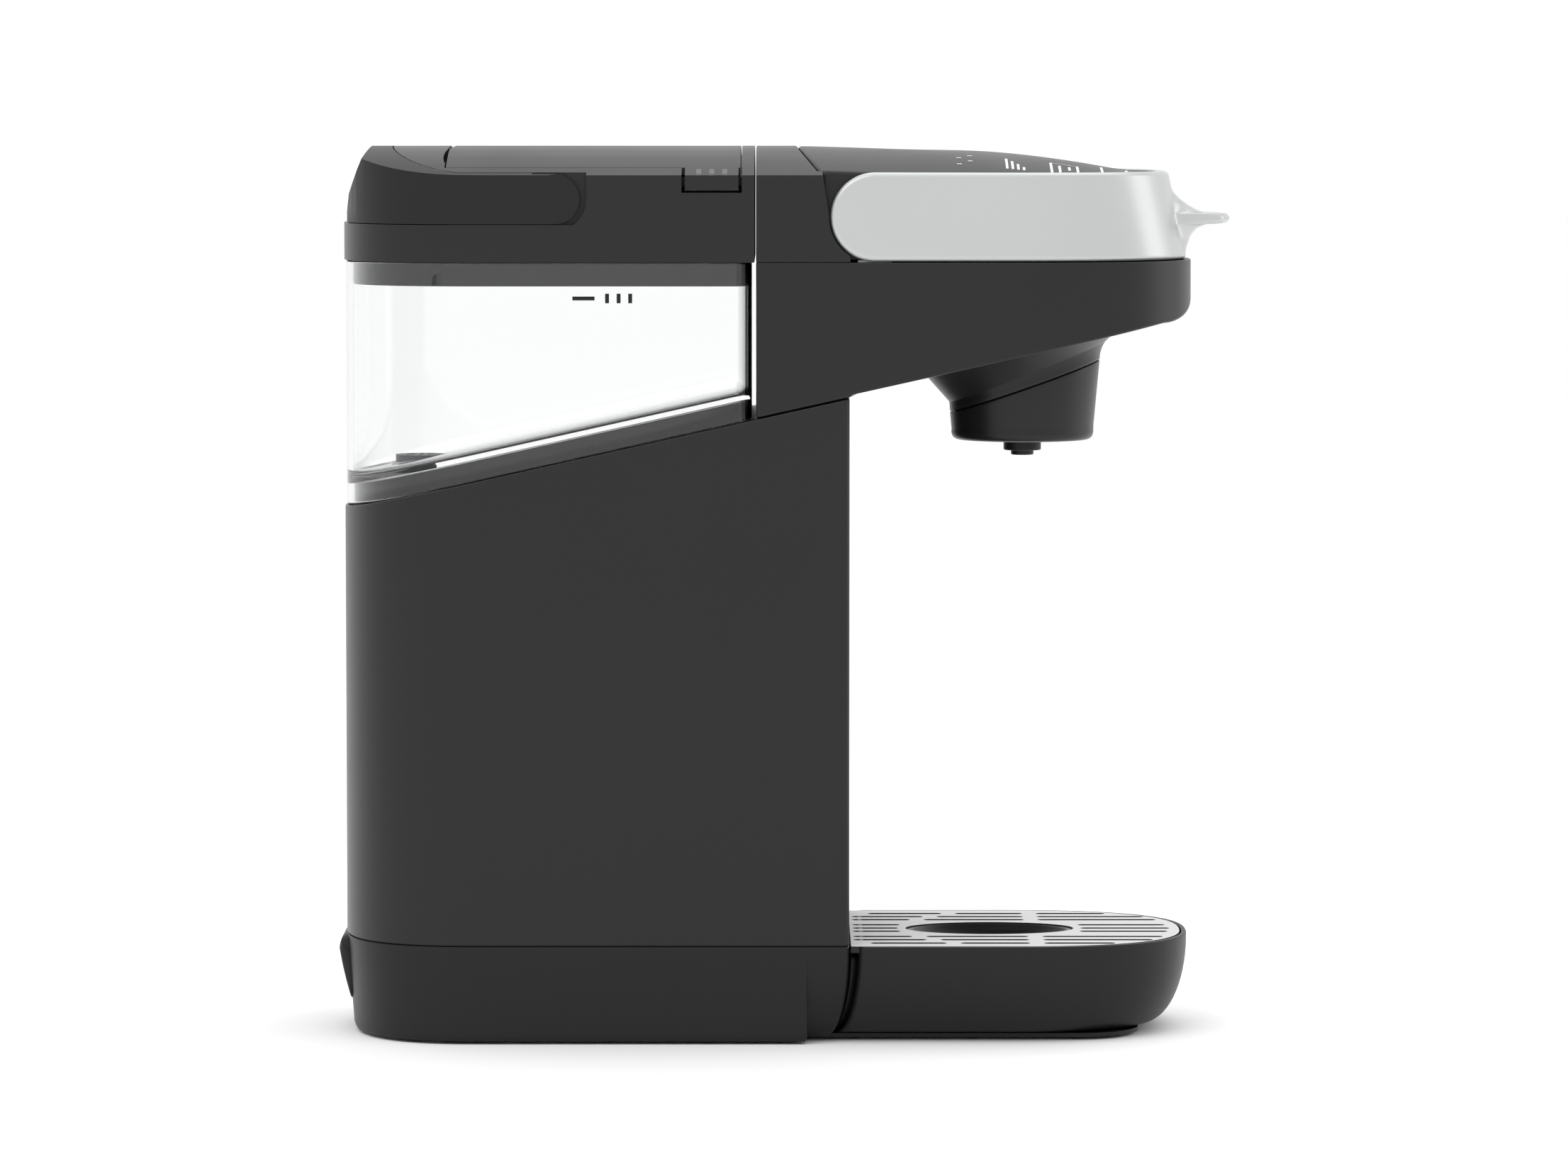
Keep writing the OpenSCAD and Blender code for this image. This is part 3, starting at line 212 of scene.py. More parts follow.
def gridPaintedShadeFinish(look, skinZ, low):
    # the grid's pale top skin over painted shade: the slot walls and underside below skinZ are painted near-black
    # shade; tone = low + (colour - low) clamp((z - skinZ)/0.03 mm)
    material, tree = newTree("gridSkin")
    place = add(tree, "ShaderNodeTexCoord", output="Object")
    height = add(tree, "ShaderNodeSeparateXYZ", None, {0: place}, output=2)
    skin = add(tree, "ShaderNodeMath", {"operation": "MULTIPLY", "use_clamp": True},
               {0: height - skinZ*mm, 1: 1/(0.03*mm)})
    fine = add(tree, "ShaderNodeTexNoise", None,
        {"Vector": place, "Scale": float(look["grain"]), "Detail": 2.0})
    tone = add(tree, "ShaderNodeMix", {"data_type": "RGBA"},
        {0: skin, 6: grey(low), 7: (*look["colour"], 1.0)}, output=2)
    bump = add(tree, "ShaderNodeBump", None, {"Strength": 0.6, "Distance": look["depth"]*mm, "Height": fine})
    shader = add(tree, "ShaderNodeBsdfPrincipled", None, {
        "Base Color": tone, "Roughness": fine*0.05 + look["rough"], "Specular IOR Level": look["gloss"],
        "Normal": bump})
    add(tree, "ShaderNodeOutputMaterial", None, {"Surface": shader})
    return material


def dishShadeAndLightFinish(look, middle, halfY, rimPaintedLight):
    # painted shade and light: tone climbs from painted black shade in the middle to a painted highlight towards the
    # front and rear rim as ((y - middle)/halfY)^4
    material, tree = newTree("dishPaintedShadeAndLight")
    place = add(tree, "ShaderNodeTexCoord", output="Object")
    along = add(tree, "ShaderNodeSeparateXYZ", None, {0: place}, output=1)
    share = (along - middle*mm)*(1/(halfY*mm))
    square = share*share
    fine = add(tree, "ShaderNodeTexNoise", None,
        {"Vector": place, "Scale": float(look["grain"]), "Detail": 2.0})
    tone = add(tree, "ShaderNodeMix", {"data_type": "RGBA"},
        {0: square*square, 6: grey(0.004), 7: grey(rimPaintedLight)}, output=2)
    bump = add(tree, "ShaderNodeBump", None, {"Strength": 0.6, "Distance": look["depth"]*mm, "Height": fine})
    shader = add(tree, "ShaderNodeBsdfPrincipled", None, {
        "Base Color": tone, "Roughness": fine*0.05 + 0.4, "Specular IOR Level": 0.15, "Normal": bump})
    add(tree, "ShaderNodeOutputMaterial", None, {"Surface": shader})
    return material


# a lighter grey for the door tab's ribs: a painted highlight where light catches them
materials["ribHighlightGrey"] = plasticFinish("ribHighlightGrey", {**finishes["dark_shell"], "colour": (0.09, 0.09, 0.09)})
# slotPaintedShade is painted near-black shade on the grid's slot walls; the dish values paint shade in the dish's
# middle and a painted highlight towards its rims
trayTones = {"skinZ": 34.76, "slotPaintedShade": 0.004, "dishMiddle": -74.8, "dishHalf": 30.3, "dishRimPaintedLight": 0.2}
materials["gridSkin"] = gridPaintedShadeFinish(finishes["light_grey"], trayTones["skinZ"], trayTones["slotPaintedShade"])
materials["dishPaintedShadeAndLight"] = dishShadeAndLightFinish(finishes["dark_base"], trayTones["dishMiddle"], trayTones["dishHalf"],
                                   trayTones["dishRimPaintedLight"])
print("finishes made:", len(materials))

slotOf = {row["node"]: row["material_slot"] for row in frame["record"]["subparts"]}
for nodeName, node in frame["nodes"].items():
    node.data.materials.clear()
    node.data.materials.append(materials[slotOf[nodeName]])
print("CAD nodes dressed:", len(slotOf))


# mesh helpers
def quads(rows, columns, wrapRows, wrapColumns):
    # the four corners of every cell between neighbouring rows and columns of a grid
    r, c = np.meshgrid(np.arange(rows if wrapRows else rows - 1),
                       np.arange(columns if wrapColumns else columns - 1), indexing="ij")
    down, right = (r + 1) % rows, (c + 1) % columns
    return np.stack([r*columns + c, r*columns + right, down*columns + right, down*columns + c],
        -1).reshape(-1, 4)


def makePiece(name, patches, body, slot, stands=(), material=None):
    # joins grids of points (rows, columns, xyz in millimetres) into one closed mesh, merges its
    # poles and seams and turns its faces outwards
    points, faces, start = [], [], 0
    for patch in patches:
        grid, wrapRows, wrapColumns = patch[:3]
        rows, columns = grid.shape[:2]
        cells = quads(rows, columns, wrapRows, wrapColumns)
        if len(patch) > 3:
            cells = cells[patch[3].reshape(-1)]
        points.append(grid.reshape(-1, 3))
        faces.append(cells + start)
        start += rows*columns
    mesh = bpy.data.meshes.new(name)
    mesh.from_pydata((np.concatenate(points)*mm).tolist(), [], np.concatenate(faces).tolist())
    work = bmesh.new()
    work.from_mesh(mesh)
    bmesh.ops.remove_doubles(work, verts=work.verts, dist=0.004*mm)
    bmesh.ops.dissolve_degenerate(work, edges=work.edges, dist=0.002*mm)
    bmesh.ops.recalc_face_normals(work, faces=work.faces)
    work.to_mesh(mesh)
    work.free()
    return finishPiece(name, mesh, body, slot, stands, material)


def finishPiece(name, mesh, body, slot, stands=(), material=None):
    # smooth shading with even normals, then the body, slot and replaced nodes of the piece
    mesh.shade_smooth()
    mesh.materials.clear()
    mesh.materials.append(material or materials[slot])
    piece = bpy.data.objects.new(name, mesh)
    bpy.context.scene.collection.objects.link(piece)
    even = piece.modifiers.new("evenNormals", "WEIGHTED_NORMAL")
    even.weight, even.keep_sharp = 60, True
    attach(piece, body)
    if stands:
        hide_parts(*stands)
    return piece


def softCopy(node, name, radius, angle=30.0, steps=2, flat=1.5, material=None):
    # a merged copy of a CAD node with its flats joined up and its edges rounded
    source = frame["nodes"][node]
    mesh = source.data.copy()
    mesh.name = name
    work = bmesh.new()
    work.from_mesh(mesh)
    bmesh.ops.remove_doubles(work, verts=work.verts, dist=0.003*mm)
    bmesh.ops.dissolve_limit(work, angle_limit=math.radians(flat), verts=work.verts, edges=work.edges)
    work.to_mesh(mesh)
    work.free()
    piece = finishPiece(name, mesh, source["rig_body"], slotOf[node], (node,), material)
    edge = piece.modifiers.new("roundEdges", "BEVEL")
    edge.width, edge.segments, edge.limit_method = radius*mm, steps, "ANGLE"
    edge.angle_limit, edge.use_clamp_overlap = math.radians(angle), True
    piece.modifiers.move(len(piece.modifiers) - 1, 0)
    return piece


def rounded(corners, steps=4):
    # a polyline of (across, up, radius): each corner with a radius becomes a curve of
    # (1-t)^2 start + 2t(1-t) corner + t^2 end
    points = []
    for k, (x, z, r) in enumerate(corners):
        here = np.array([x, z], float)
        if r <= 0 or k in (0, len(corners) - 1):
            points.append(here[None])
            continue
        before, after = (np.array(corners[k + d][:2], float) - here for d in (-1, 1))
        start = here + before/np.linalg.norm(before)*min(r, np.linalg.norm(before)*0.49)
        end = here + after/np.linalg.norm(after)*min(r, np.linalg.norm(after)*0.49)
        t = np.linspace(0, 1, steps + 1)[:, None]
        points.append((1 - t)**2*start + 2*t*(1 - t)*here + t**2*end)
    return np.concatenate(points)


# the machine's own frame, in millimetres
machine = {
    "halfW": 57.5, "height": 319.4, "crownDrop": 9.8, "yBack": 158.8, "yTank": 11.4, "ySlit": 9.9,
    "yColumn": -23.3, "yWide": -8.3, "yNose": -147.0, "yPod": -86.4, "zPart": 278.7, "baseH": 34.8,
    "lift": 0.8, "slope": math.tan(math.radians(12.55)), "backReach": 50.8, "frontReach": 67.6,
    "pinY": -32.3, "pinZ": 294.8, "gap": 0.35, "wall": 2.4,
}
m = machine
crownR = (m["halfW"]**2 + m["crownDrop"]**2)/(2*m["crownDrop"])
rearCentre = m["yBack"] - m["backReach"]
frontCentre = m["yNose"] + m["frontReach"]


def crown(x):
    # height of the crowned top: a circle of radius crownR
    return m["height"] - crownR + np.sqrt(np.maximum(crownR**2 - x*x, 0))


def deck(y):
    # height of the slanted deck plane
    return m["zPart"] - 55.6 - m["slope"]*(y - m["ySlit"])


def ovalPower(value):
    # sign(v) |v|^0.8, which makes an oval of power 2.5
    return np.sign(value)*np.abs(value)**0.8


def outline(inset, flat, centre, reach, side, half, corner=2.0, count=72):
    # a flat end with round corners, straight sides and an oval end of power 2.5:
    # x = a sign(cos t)|cos t|^0.8, y = centre + side b |sin t|^0.8, shrunk by the inset
    i = np.atleast_1d(np.asarray(inset, float))[:, None]
    a, b = np.maximum(half - i, 0.02), np.maximum(reach - i, 0.02)
    r = np.minimum(np.maximum(corner - i, 0.25), a)
    turn = np.radians(np.linspace(0, 90, 6))
    t = np.radians(np.linspace(0, 180, count + 1))
    cornerX = a - r + r*np.sin(turn)
    cornerY = flat + side*(i + r - r*np.cos(turn))
    ovalX, ovalY = a*ovalPower(np.cos(t)), centre + side*b*ovalPower(np.sin(t))
    x = np.concatenate([cornerX, ovalX, -cornerX[:, ::-1]], 1)
    y = np.concatenate([cornerY, ovalY, cornerY[:, ::-1]], 1)
    return x, y


def stack(plan, profile, floor, top):
    # rings of a plan: each profile point (inset, height) is a ring, whose height is measured
    # up from the floor, or from the top where it is above far/2
    inset, h = profile[:, 0], profile[:, 1][:, None]
    x, y = plan(inset)
    z = np.where(h < far/2, floor(x, y) + h, top(x, y) + h - far)
    return np.stack([x, y, z], -1)


def closeEnd(grid, row):
    # draws one end row of a grid together into its middle
    grid[row] = grid[row].mean(0)
    return grid


def revolve(profile, y, turns=96):
    # a profile of (radius, height) turned about the upright axis at y
    t = np.radians(np.linspace(0, 360, turns, endpoint=False))
    r, z = profile[:, 0][:, None], profile[:, 1][:, None]
    return np.stack([r*np.cos(t), y + r*np.sin(t), z + 0*t], -1)


def level(value):
    # the same height everywhere
    return lambda x, y: value + 0*x


def rollIn(z, floor, height, depth):
    # how far a rolled edge stands in at height z: depth (1 - sqrt(1 - (1-q)^2)), q the share of its height
    q = np.clip((z - floor)/height, 0, 1)
    return depth*(1 - np.sqrt(np.maximum(1 - (1 - q)**2, 0)))


# body column
bodyLook = {"edge": 0.5, "topEdge": 0.7, "corner": 2.2, "lip": 1.0}


def buildBody():
    # a wall that follows the plan, from the base up to the slanted deck
    g, w = m["gap"], m["wall"]
    profile = rounded([
        (bodyLook["lip"], 2.6, 0), (bodyLook["lip"], g, 0.1), (0, g, bodyLook["edge"]),
        (0, far - 0.05, bodyLook["topEdge"]),
        (w, far - 0.05, 0.4), (w, 2.6, 0), (bodyLook["lip"], 2.6, 0)])
    grid = stack(lambda i: outline(i, m["yColumn"], rearCentre, m["backReach"], 1, m["halfW"],
        bodyLook["corner"], 96),
                 profile, level(m["baseH"]), lambda x, y: deck(y))
    makePiece("bodyShell", [(grid[:-1], True, True)], "root", "dark_shell", ("body_shell",))


buildBody()


# base: the full-width part and the neck that the tray slides up to
baseLook = {"draft": 2.6, "neckRoll": 9.0, "sideRoll": 13.0, "rollH": 31.8, "edge": 0.5, "foot": 0.7,
    "corner": 2.0}


def baseRing(inset, z):
    # right half from the front middle to the back middle, then the same mirrored
    i, z = inset[:, None], z[:, None]
    inSide = rollIn(z, m["lift"], baseLook["rollH"], baseLook["sideRoll"])
    inFront = rollIn(z, m["lift"], baseLook["rollH"], baseLook["neckRoll"])
    a, neck, front = m["halfW"] - i, m["halfW"] - inSide - i, m["yColumn"] + inFront + i
    turn = np.radians(np.linspace(0, 90, 6))
    r = np.maximum(baseLook["corner"] - i, 0.25)
    step = np.minimum(0.5, a - neck)
    lean = baseLook["draft"]*(1 - np.clip((z - m["lift"])/(m["baseH"] - m["lift"]), 0, 1))
    t = np.radians(np.linspace(0, 90, 45))
    x = [neck - r + r*np.sin(turn), neck, a - step + step*np.sin(turn), a*ovalPower(np.cos(t))]
    y = [front + r - r*np.cos(turn), m["yWide"] + i, m["yWide"] + i + step - step*np.cos(turn),
         rearCentre + (m["backReach"] - i - lean)*ovalPower(np.sin(t))]
    x, y = (np.concatenate([np.broadcast_to(p, (len(z), p.shape[1])) for p in half], 1) for half in (x, y))
    x, y = np.concatenate([x, -x[:, -2::-1]], 1), np.concatenate([y, y[:, -2::-1]], 1)
    return np.stack([x, y, np.broadcast_to(z, x.shape)], -1)


def buildBase():
    low, top, w, lip = m["lift"], m["baseH"], m["wall"], bodyLook["lip"]
    rise = low + baseLook["rollH"]*(1 - np.cos(np.radians(np.linspace(0, 90, 15))))
    inset = np.maximum(baseLook["foot"]*(1 - (rise - low)/1.2), 0)
    outer = np.stack([inset, rise], 1)
    rim = rounded([(0, top - 3, 0), (0, top, baseLook["edge"]), (lip + 0.15, top, 0.1),
        (lip + 0.15, top + 2.2, 0.2),
                   (w, top + 2.2, 0.2), (w, top - 3, 0)])[1:]
    inner = np.stack([np.full(8, w),
        low + 0.9*baseLook["rollH"]*(1 - np.sin(np.radians(np.linspace(10, 90, 8))))], 1)
    profile = np.concatenate([outer, rim, inner])
    makePiece("baseShell", [(baseRing(profile[:, 0], profile[:, 1]), True, True)], "root", "dark_base",
        ("base_shell",))


buildBase()


# cord outlet: a wedge-shaped bump with a round hole for the cord's grommet
cowlLook = {"half": 18.0, "low": 10.7, "high": 34.2, "crestZ": 29.2, "crestY": 161.2, "holeZ": 22.0,
    "holeR": 5.1, "under": 6.0}


def buildCowl():
    # rings from the hole out to a rounded rectangle; the rear face climbs from the base's wall to a crest near the top
    c = cowlLook
    t = np.radians(np.linspace(0, 360, 97)[:-1])
    s = np.concatenate([np.linspace(0, 1, 12), np.ones(3)])[:, None]
    middle = (c["low"] + c["high"])/2
    power = 0.35
    boxX = c["half"]*np.sign(np.cos(t))*np.abs(np.cos(t))**power
    boxZ = middle + (c["high"] - c["low"])/2*np.sign(np.sin(t))*np.abs(np.sin(t))**power
    x = c["holeR"]*np.cos(t)*(1 - s) + boxX*s
    z = (c["holeZ"] + c["holeR"]*np.sin(t))*(1 - s) + boxZ*s
    share = np.clip((z - c["low"])/(c["crestZ"] - c["low"]), 0, 1)
    wallY = m["yBack"] - baseLook["draft"]*(1 - z/m["baseH"]) - 0.5
    fall = np.clip((z - c["crestZ"])/(c["high"] - c["crestZ"]), 0, 1)**2*1.6
    rise = (c["crestY"] - fall - wallY)*share**0.9
    edge = np.sqrt(np.maximum(1 - (np.abs(x)/(c["half"] + 0.01))**14, 0))
    y = wallY + rise*edge
    depth = np.concatenate([np.zeros(12), [0.6, 2.0, c["under"]]])[:, None]
    grid = np.stack([x, y - depth, z + 0*x], -1)
    back = np.stack([x[:1], y[:1]*0 + m["yBack"] - c["under"], z[:1]], -1)
    makePiece("cordOutlet", [(np.concatenate([back, grid]), True, True)], "root", "dark_base")


buildCowl()
print("base and body made")


# lower head with the flare round the funnel
headLook = {"under": 1.1, "rollD": 11.4, "rollH": 8.2, "edge": 1.1, "rim": 0.5}


def headUnder(x, y):
    # underside: the deck plane a little raised, then a quarter ellipse h (1 - sqrt(1 - q^2))
    # up to the nose
    sloped = deck(y) + np.where(y > m["yColumn"], m["gap"], headLook["under"])
    start = m["yNose"] + headLook["rollD"]
    q = np.clip((start - y)/headLook["rollD"], 0, 1)
    return np.minimum(sloped, deck(start) + headLook["under"]) + headLook["rollH"]*(1 - np.sqrt(1 - q*q))


def headOutline(inset):
    # plan of the head: flat at the slit, oval at the nose
    return outline(inset, m["ySlit"], frontCentre, m["frontReach"], -1, m["halfW"], 1.2, 96)


def denseSides(x, y, start, end, count):
    # adds points along the straight sides, so that the underside can step and bend there
    share = np.linspace(0, 1, count + 2)[1:-1]
    def fill(v, k):
        return v[:, k:k + 1] + (v[:, k + 1:k + 2] - v[:, k:k + 1])*share
    return (np.concatenate([v[:, :start + 1], fill(v, start), v[:, start + 1:end + 1], fill(v, end),
        v[:, end + 1:]], 1)
            for v in (x, y))


def headPlan(inset):
    x, y = headOutline(inset)
    return tuple(denseSides(x, y, 5, x.shape[1] - 7, 60))


def buildHead():
    # outer skin, rim and inner skin of the head as one wall with an open middle for the funnel
    w, e = m["wall"], headLook["edge"]
    inner = [(i, 0, 0) for i in (50, 42, 34, 26, 18, 12, 7, 4)]
    profile = rounded(inner + [(0, 0, e), (0, far, headLook["rim"]), (w, far, 0.3), (w, w, 0.6)]
                      + [(i, w, 0) for i in (5, 10, 18, 30)])
    grid = stack(headPlan, profile, headUnder, level(m["zPart"]))
    makePiece("headShell", [(grid, True, True)], "root", "dark_shell", ("head_shell",))


funnelLook = {
    "seamTilt": math.tan(math.radians(19.2)), "bottom": 213.2, "baseR": 22.6, "fillet": 3.0, "topR": 28.6,
    "topZ": 249.2, "bore": 5.0, "flareR": 37.2, "tubeR": 26.0, "groove": 0.45,
}


def seamPlane(y):
    # the tilted seam between the funnel and the flare
    return deck(m["yPod"]) - 12 - funnelLook["seamTilt"]*(y - m["yPod"])


def funnelR(z):
    # radius of the cone at height z: linear between the fillet and topR
    f = funnelLook
    return f["baseR"] + f["fillet"] + (f["topR"] - f["baseR"] - f["fillet"])*(z - f["bottom"] - f["fillet"])/(f["topZ"] - f["bottom"] - f["fillet"])


def seamRing(t, lift):
    # where the cone meets the seam plane raised by lift: solved by a few rounds of r(z(r))
    r = np.full(len(t), 27.0)
    for _ in range(6):
        z = seamPlane(m["yPod"] + r*np.sin(t)) + lift
        r = funnelR(z)
    return r, z


def buildFunnel():
    f, y0 = funnelLook, m["yPod"]
    t = np.radians(np.linspace(0, 360, 129)[:-1])
    topR, topZ = seamRing(t, -f["groove"]/2)
    low = rounded([(f["bore"], f["bottom"] + 2, 0), (f["bore"], f["bottom"], 0.5),
                   (f["baseR"] + f["fillet"], f["bottom"], f["fillet"]),
                   (funnelR(f["bottom"] + 8), f["bottom"] + 8, 0)], 8)
    bottom = np.stack([low[:-1, 0][:, None]*np.cos(t), y0 + low[:-1, 0][:, None]*np.sin(t),
        low[:-1, 1][:, None] + 0*t], -1)
    s = np.linspace(0.08, 1, 14)[:, None]
    z = low[-2, 1] + (topZ - 0.4 - low[-2, 1])*s
    r = funnelR(z)
    wall = np.stack([r*np.cos(t), y0 + r*np.sin(t), z], -1)
    def ring(less, up):
        return np.stack([(topR - less)*np.cos(t), y0 + (topR - less)*np.sin(t), topZ + up], -1)[None]
    rim = np.concatenate([ring(0.15, -0.1), ring(0.5, 0), ring(1.6, 0), ring(1.6, 3.0), ring(4.2, 3.0),
        ring(5.5, -8)])
    inside = revolve(np.array([[21.0, f["bottom"] + 4], [f["bore"], f["bottom"] + 2.0]]), y0, 128)
    makePiece("funnel", [(np.concatenate([bottom, wall, rim, inside]), True, True)], "root", "dark_shell",
        ("funnel_housing",))
    # the flare: r = wide - (wide - narrow) sin s, height from the underside to the seam as 1 - cos s
    narrow, seamZ = seamRing(t, f["groove"]/2)
    s = np.radians(np.linspace(0, 90, 16))[:, None]
    wide = f["flareR"]
    wideZ = headUnder(0*t, y0 + wide*np.sin(t)) - 0.02
    r = wide - (wide - narrow)*np.sin(s)
    z = headUnder(0*t, y0 + r*np.sin(t)) - 0.02 + (seamZ - headUnder(0*t, y0 + narrow*np.sin(t)))*(1 - np.cos(s))
    outer = np.stack([r*np.cos(t), y0 + r*np.sin(t), z], -1)
    lip = np.stack([(narrow - 0.4)*np.cos(t), y0 + (narrow - 0.4)*np.sin(t), z[-1] + 0.1], -1)[None]
    tube = np.concatenate([np.stack([(f["tubeR"] + 0.3)*np.cos(t), y0 + (f["tubeR"] + 0.3)*np.sin(t),
        z[-1] + up], -1)[None]
                           for up in (0.1, 3.0)])
    hidden = np.stack([wide*np.cos(t), y0 + wide*np.sin(t), wideZ + 1.5], -1)[None]
    makePiece("flare", [(np.concatenate([outer, lip, tube, hidden]), True, True)], "root", "dark_shell")
    nozzle = rounded([(2.6, 207.8, 0), (2.6, 207.6, 0.3), (4.1, 207.6, 0.5), (4.1, 209.3, 0.2),
        (6.8, 209.3, 0.6), (6.8, 213.4, 0.3),
                      (4.9, 213.4, 0), (4.9, 215.8, 0), (2.6, 215.8, 0)])
    makePiece("outlet", [(revolve(nozzle, y0, 64), True, True)], "root", "dark_base", ("nozzle",))


buildHead()
buildFunnel()
print("head made")


# lever: a U-shaped band with round rear ends, a chamfered rim and a thumb tab
leverLook = {
    "low": 279.0, "high": 310.5, "thick": 4.2, "rim": 1.3, "rake": 6.9, "front": 1.5, "endR": 15.8,
    "tabHalf": 20.5, "tabFull": 13.0, "tabRound": 30.3, "tabRoundY": -131.0,
    # the tab's side view, from the band's face above it to the face below: (forward share, height)
    "tab": [(0, 304.5), (0.02, 302.7), (0.11, 300.4), (0.25, 298.0), (0.40, 296.3), (0.55, 295.4),
        (0.80, 295.3),
            (0.94, 295.0), (1.0, 293.4), (0.95, 291.8), (0.80, 291.4), (0.57, 291.3), (0.35, 289.8),
            (0.20, 287.4),
            (0.13, 285.4), (0.05, 283.0), (0, 281.0)],
}


def buildLever():
    # rows go round the band's section, columns go along the U from one rear end to the other
    v = leverLook
    tab = np.array(v["tab"])
    high, low, r, t4 = v["high"], v["low"], v["endR"], v["thick"]
    # section points: (inset from the outer face, edge distance, side of the pivot, tab forward share, height at the tab)
    rows = [(0, 1.6, 1, 0, high - 1.6), *[(0, None, 0, f, z) for f, z in tab], (0, 1.6, -1, 0, low + 1.6),
            (0.1, 1.15, -1, 0, 0), (0.5, 0.45, -1, 0, 0), (1.1, 0.12, -1, 0, 0), (1.7, 0, -1, 0, 0),
            (3.7, 0, -1, 0, 0), (4.05, 0.12, -1, 0, 0),
            (t4, 0.5, -1, 0, 0), (t4, 0.5, 1, 0, 0), (4.05, 0.12, 1, 0, 0), (3.7, 0, 1, 0, 0),
            (1.7, 0, 1, 0, 0), (1.1, 0.12, 1, 0, 0),
            (0.5, 0.45, 1, 0, 0), (0.1, 1.15, 1, 0, 0)]
    inset = np.array([q[0] for q in rows], float)[:, None]
    edge = np.array([q[1] if q[1] is not None else 1.6 for q in rows], float)[:, None]
    sign = np.array([q[2] for q in rows], float)[:, None]
    forward = np.array([q[3] for q in rows], float)[:, None]
    middle = (high + low)/2
    height = np.where(sign == 0, np.array([q[4] for q in rows], float)[:, None],
        middle + sign*((high - low)/2 - edge))
    onFace = sign == 0
    share = (height - low)/(high - low)
    # along the U: straight arm, then the oval front
    t = np.radians(np.concatenate([np.linspace(0, 60, 22)[:-1], np.linspace(60, 120, 61)[:-1],
        np.linspace(120, 180, 22)]))
    a = m["halfW"] - inset
    b = m["frontReach"] - v["front"] - v["rake"]*share - inset
    ovalX, ovalY = a*ovalPower(np.cos(t)), frontCentre - b*ovalPower(np.sin(t))
    k = 1 - np.clip((np.abs(ovalX) - v["tabFull"])/(v["tabHalf"] - v["tabFull"]), 0, 1)
    k = k*k*(3 - 2*k)
    tipY = v["tabRoundY"] - np.sqrt(np.maximum(v["tabRound"]**2 - np.minimum(np.abs(ovalX), 26)**2, 0))
    ovalY = ovalY - forward*np.maximum((ovalY - tipY)*k, 0)
    # the arm and its round end: the edge rows turn about the pivot at radius endR - edge distance
    turn = np.radians(np.linspace(90, 0, 19))[None]
    armR = r - edge
    # rows on the face shrink towards the pivot's height as the end closes
    faceShare = (height - m["pinZ"])/(r - 1.6)
    endY = m["pinY"] + np.where(onFace, r - 1.6, armR)*np.sin(turn)
    endZ = m["pinZ"] + np.where(onFace, faceShare*(r - 1.6), sign*armR)*np.cos(turn)
    endX = np.broadcast_to(a, endY.shape)
    arm = np.linspace(0, 1, 8)[None, 1:-1]
    armY, armZ = m["pinY"] + (frontCentre - m["pinY"])*arm + 0*a, endZ[:, -1:] + (height - endZ[:, -1:])*arm
    right = np.stack([np.concatenate([endX, np.broadcast_to(a, armY.shape)], 1),
                      np.concatenate([endY, armY], 1), np.concatenate([endZ, armZ], 1)], -1)
    front = np.stack([ovalX, ovalY, np.broadcast_to(height, ovalX.shape)], -1)
    left = right[:, ::-1]*np.array([-1, 1, 1])
    grid = np.concatenate([right, front, left], 1)
    makePiece("leverBand", [(grid, True, False)], "lever", "silver", ("lever",))


buildLever()
print("lever made")


# pod lid
lidLook = {"half": 52.6, "reach": 52.0, "gap": 0.7, "seamY": -5.2, "bow": 8.6, "edge": 1.4, "wall": 2.4,
           "apexY": [20.0, -5.2, -42.5, -76.2, -101.5, -117.2, -127.5, -132.0],
           "apexZ": [319.4, 319.3, 318.2, 317.2, 314.3, 311.6, 309.0, 304.0]}


def seamY(x):
    # the lid's rear seam bows forward towards the sides
    return lidLook["seamY"] - lidLook["bow"]*(x/m["halfW"])**2


def smoothLine(y, ys, zs):
    # a curve through chosen points: cubic Hermite with slopes from the neighbours
    order = np.argsort(ys)
    ys, zs = np.array(ys)[order], np.array(zs)[order]
    slope = np.gradient(zs, ys)
    k = np.clip(np.searchsorted(ys, y) - 1, 0, len(ys) - 2)
    h = ys[k + 1] - ys[k]
    t = np.clip((y - ys[k])/h, 0, 1)
    return ((2*t**3 - 3*t**2 + 1)*zs[k] + (t**3 - 2*t**2 + t)*h*slope[k]
            + (-2*t**3 + 3*t**2)*zs[k + 1] + (t**3 - t**2)*h*slope[k + 1])


def lidTop(x, y):
    # the apex line along the lid, less the fall of the crown towards the sides
    return smoothLine(y, lidLook["apexY"], lidLook["apexZ"]) - (m["height"] - crown(x)) - 0.05


def lidPlan(inset):
    # oval nose, straight sides, and a rear edge that follows the seam
    i = np.asarray(inset, float)[:, None]
    a, b = np.maximum(lidLook["half"] - i, 0.02), np.maximum(lidLook["reach"] - i, 0.02)
    t = np.radians(np.linspace(0, 180, 97))
    frontX, frontY = a*ovalPower(np.cos(t)), frontCentre - b*ovalPower(np.sin(t))
    share = np.linspace(0, 1, 26)
    rearLine = seamY(a*np.ones(1)) - i
    rearLine = np.maximum(rearLine, frontCentre + 0.2)
    sideY = frontCentre + (rearLine - frontCentre)*share[1:-1]
    across = np.linspace(-1, 1, 41)
    rearX = a*across
    rearY = np.maximum(seamY(rearX) - i, frontCentre + 0.2)
    x = np.concatenate([frontX, -a + 0*sideY, rearX, a + 0*sideY[:, ::-1]], 1)
    y = np.concatenate([frontY, sideY, rearY, sideY[:, ::-1]], 1)
    return x, y


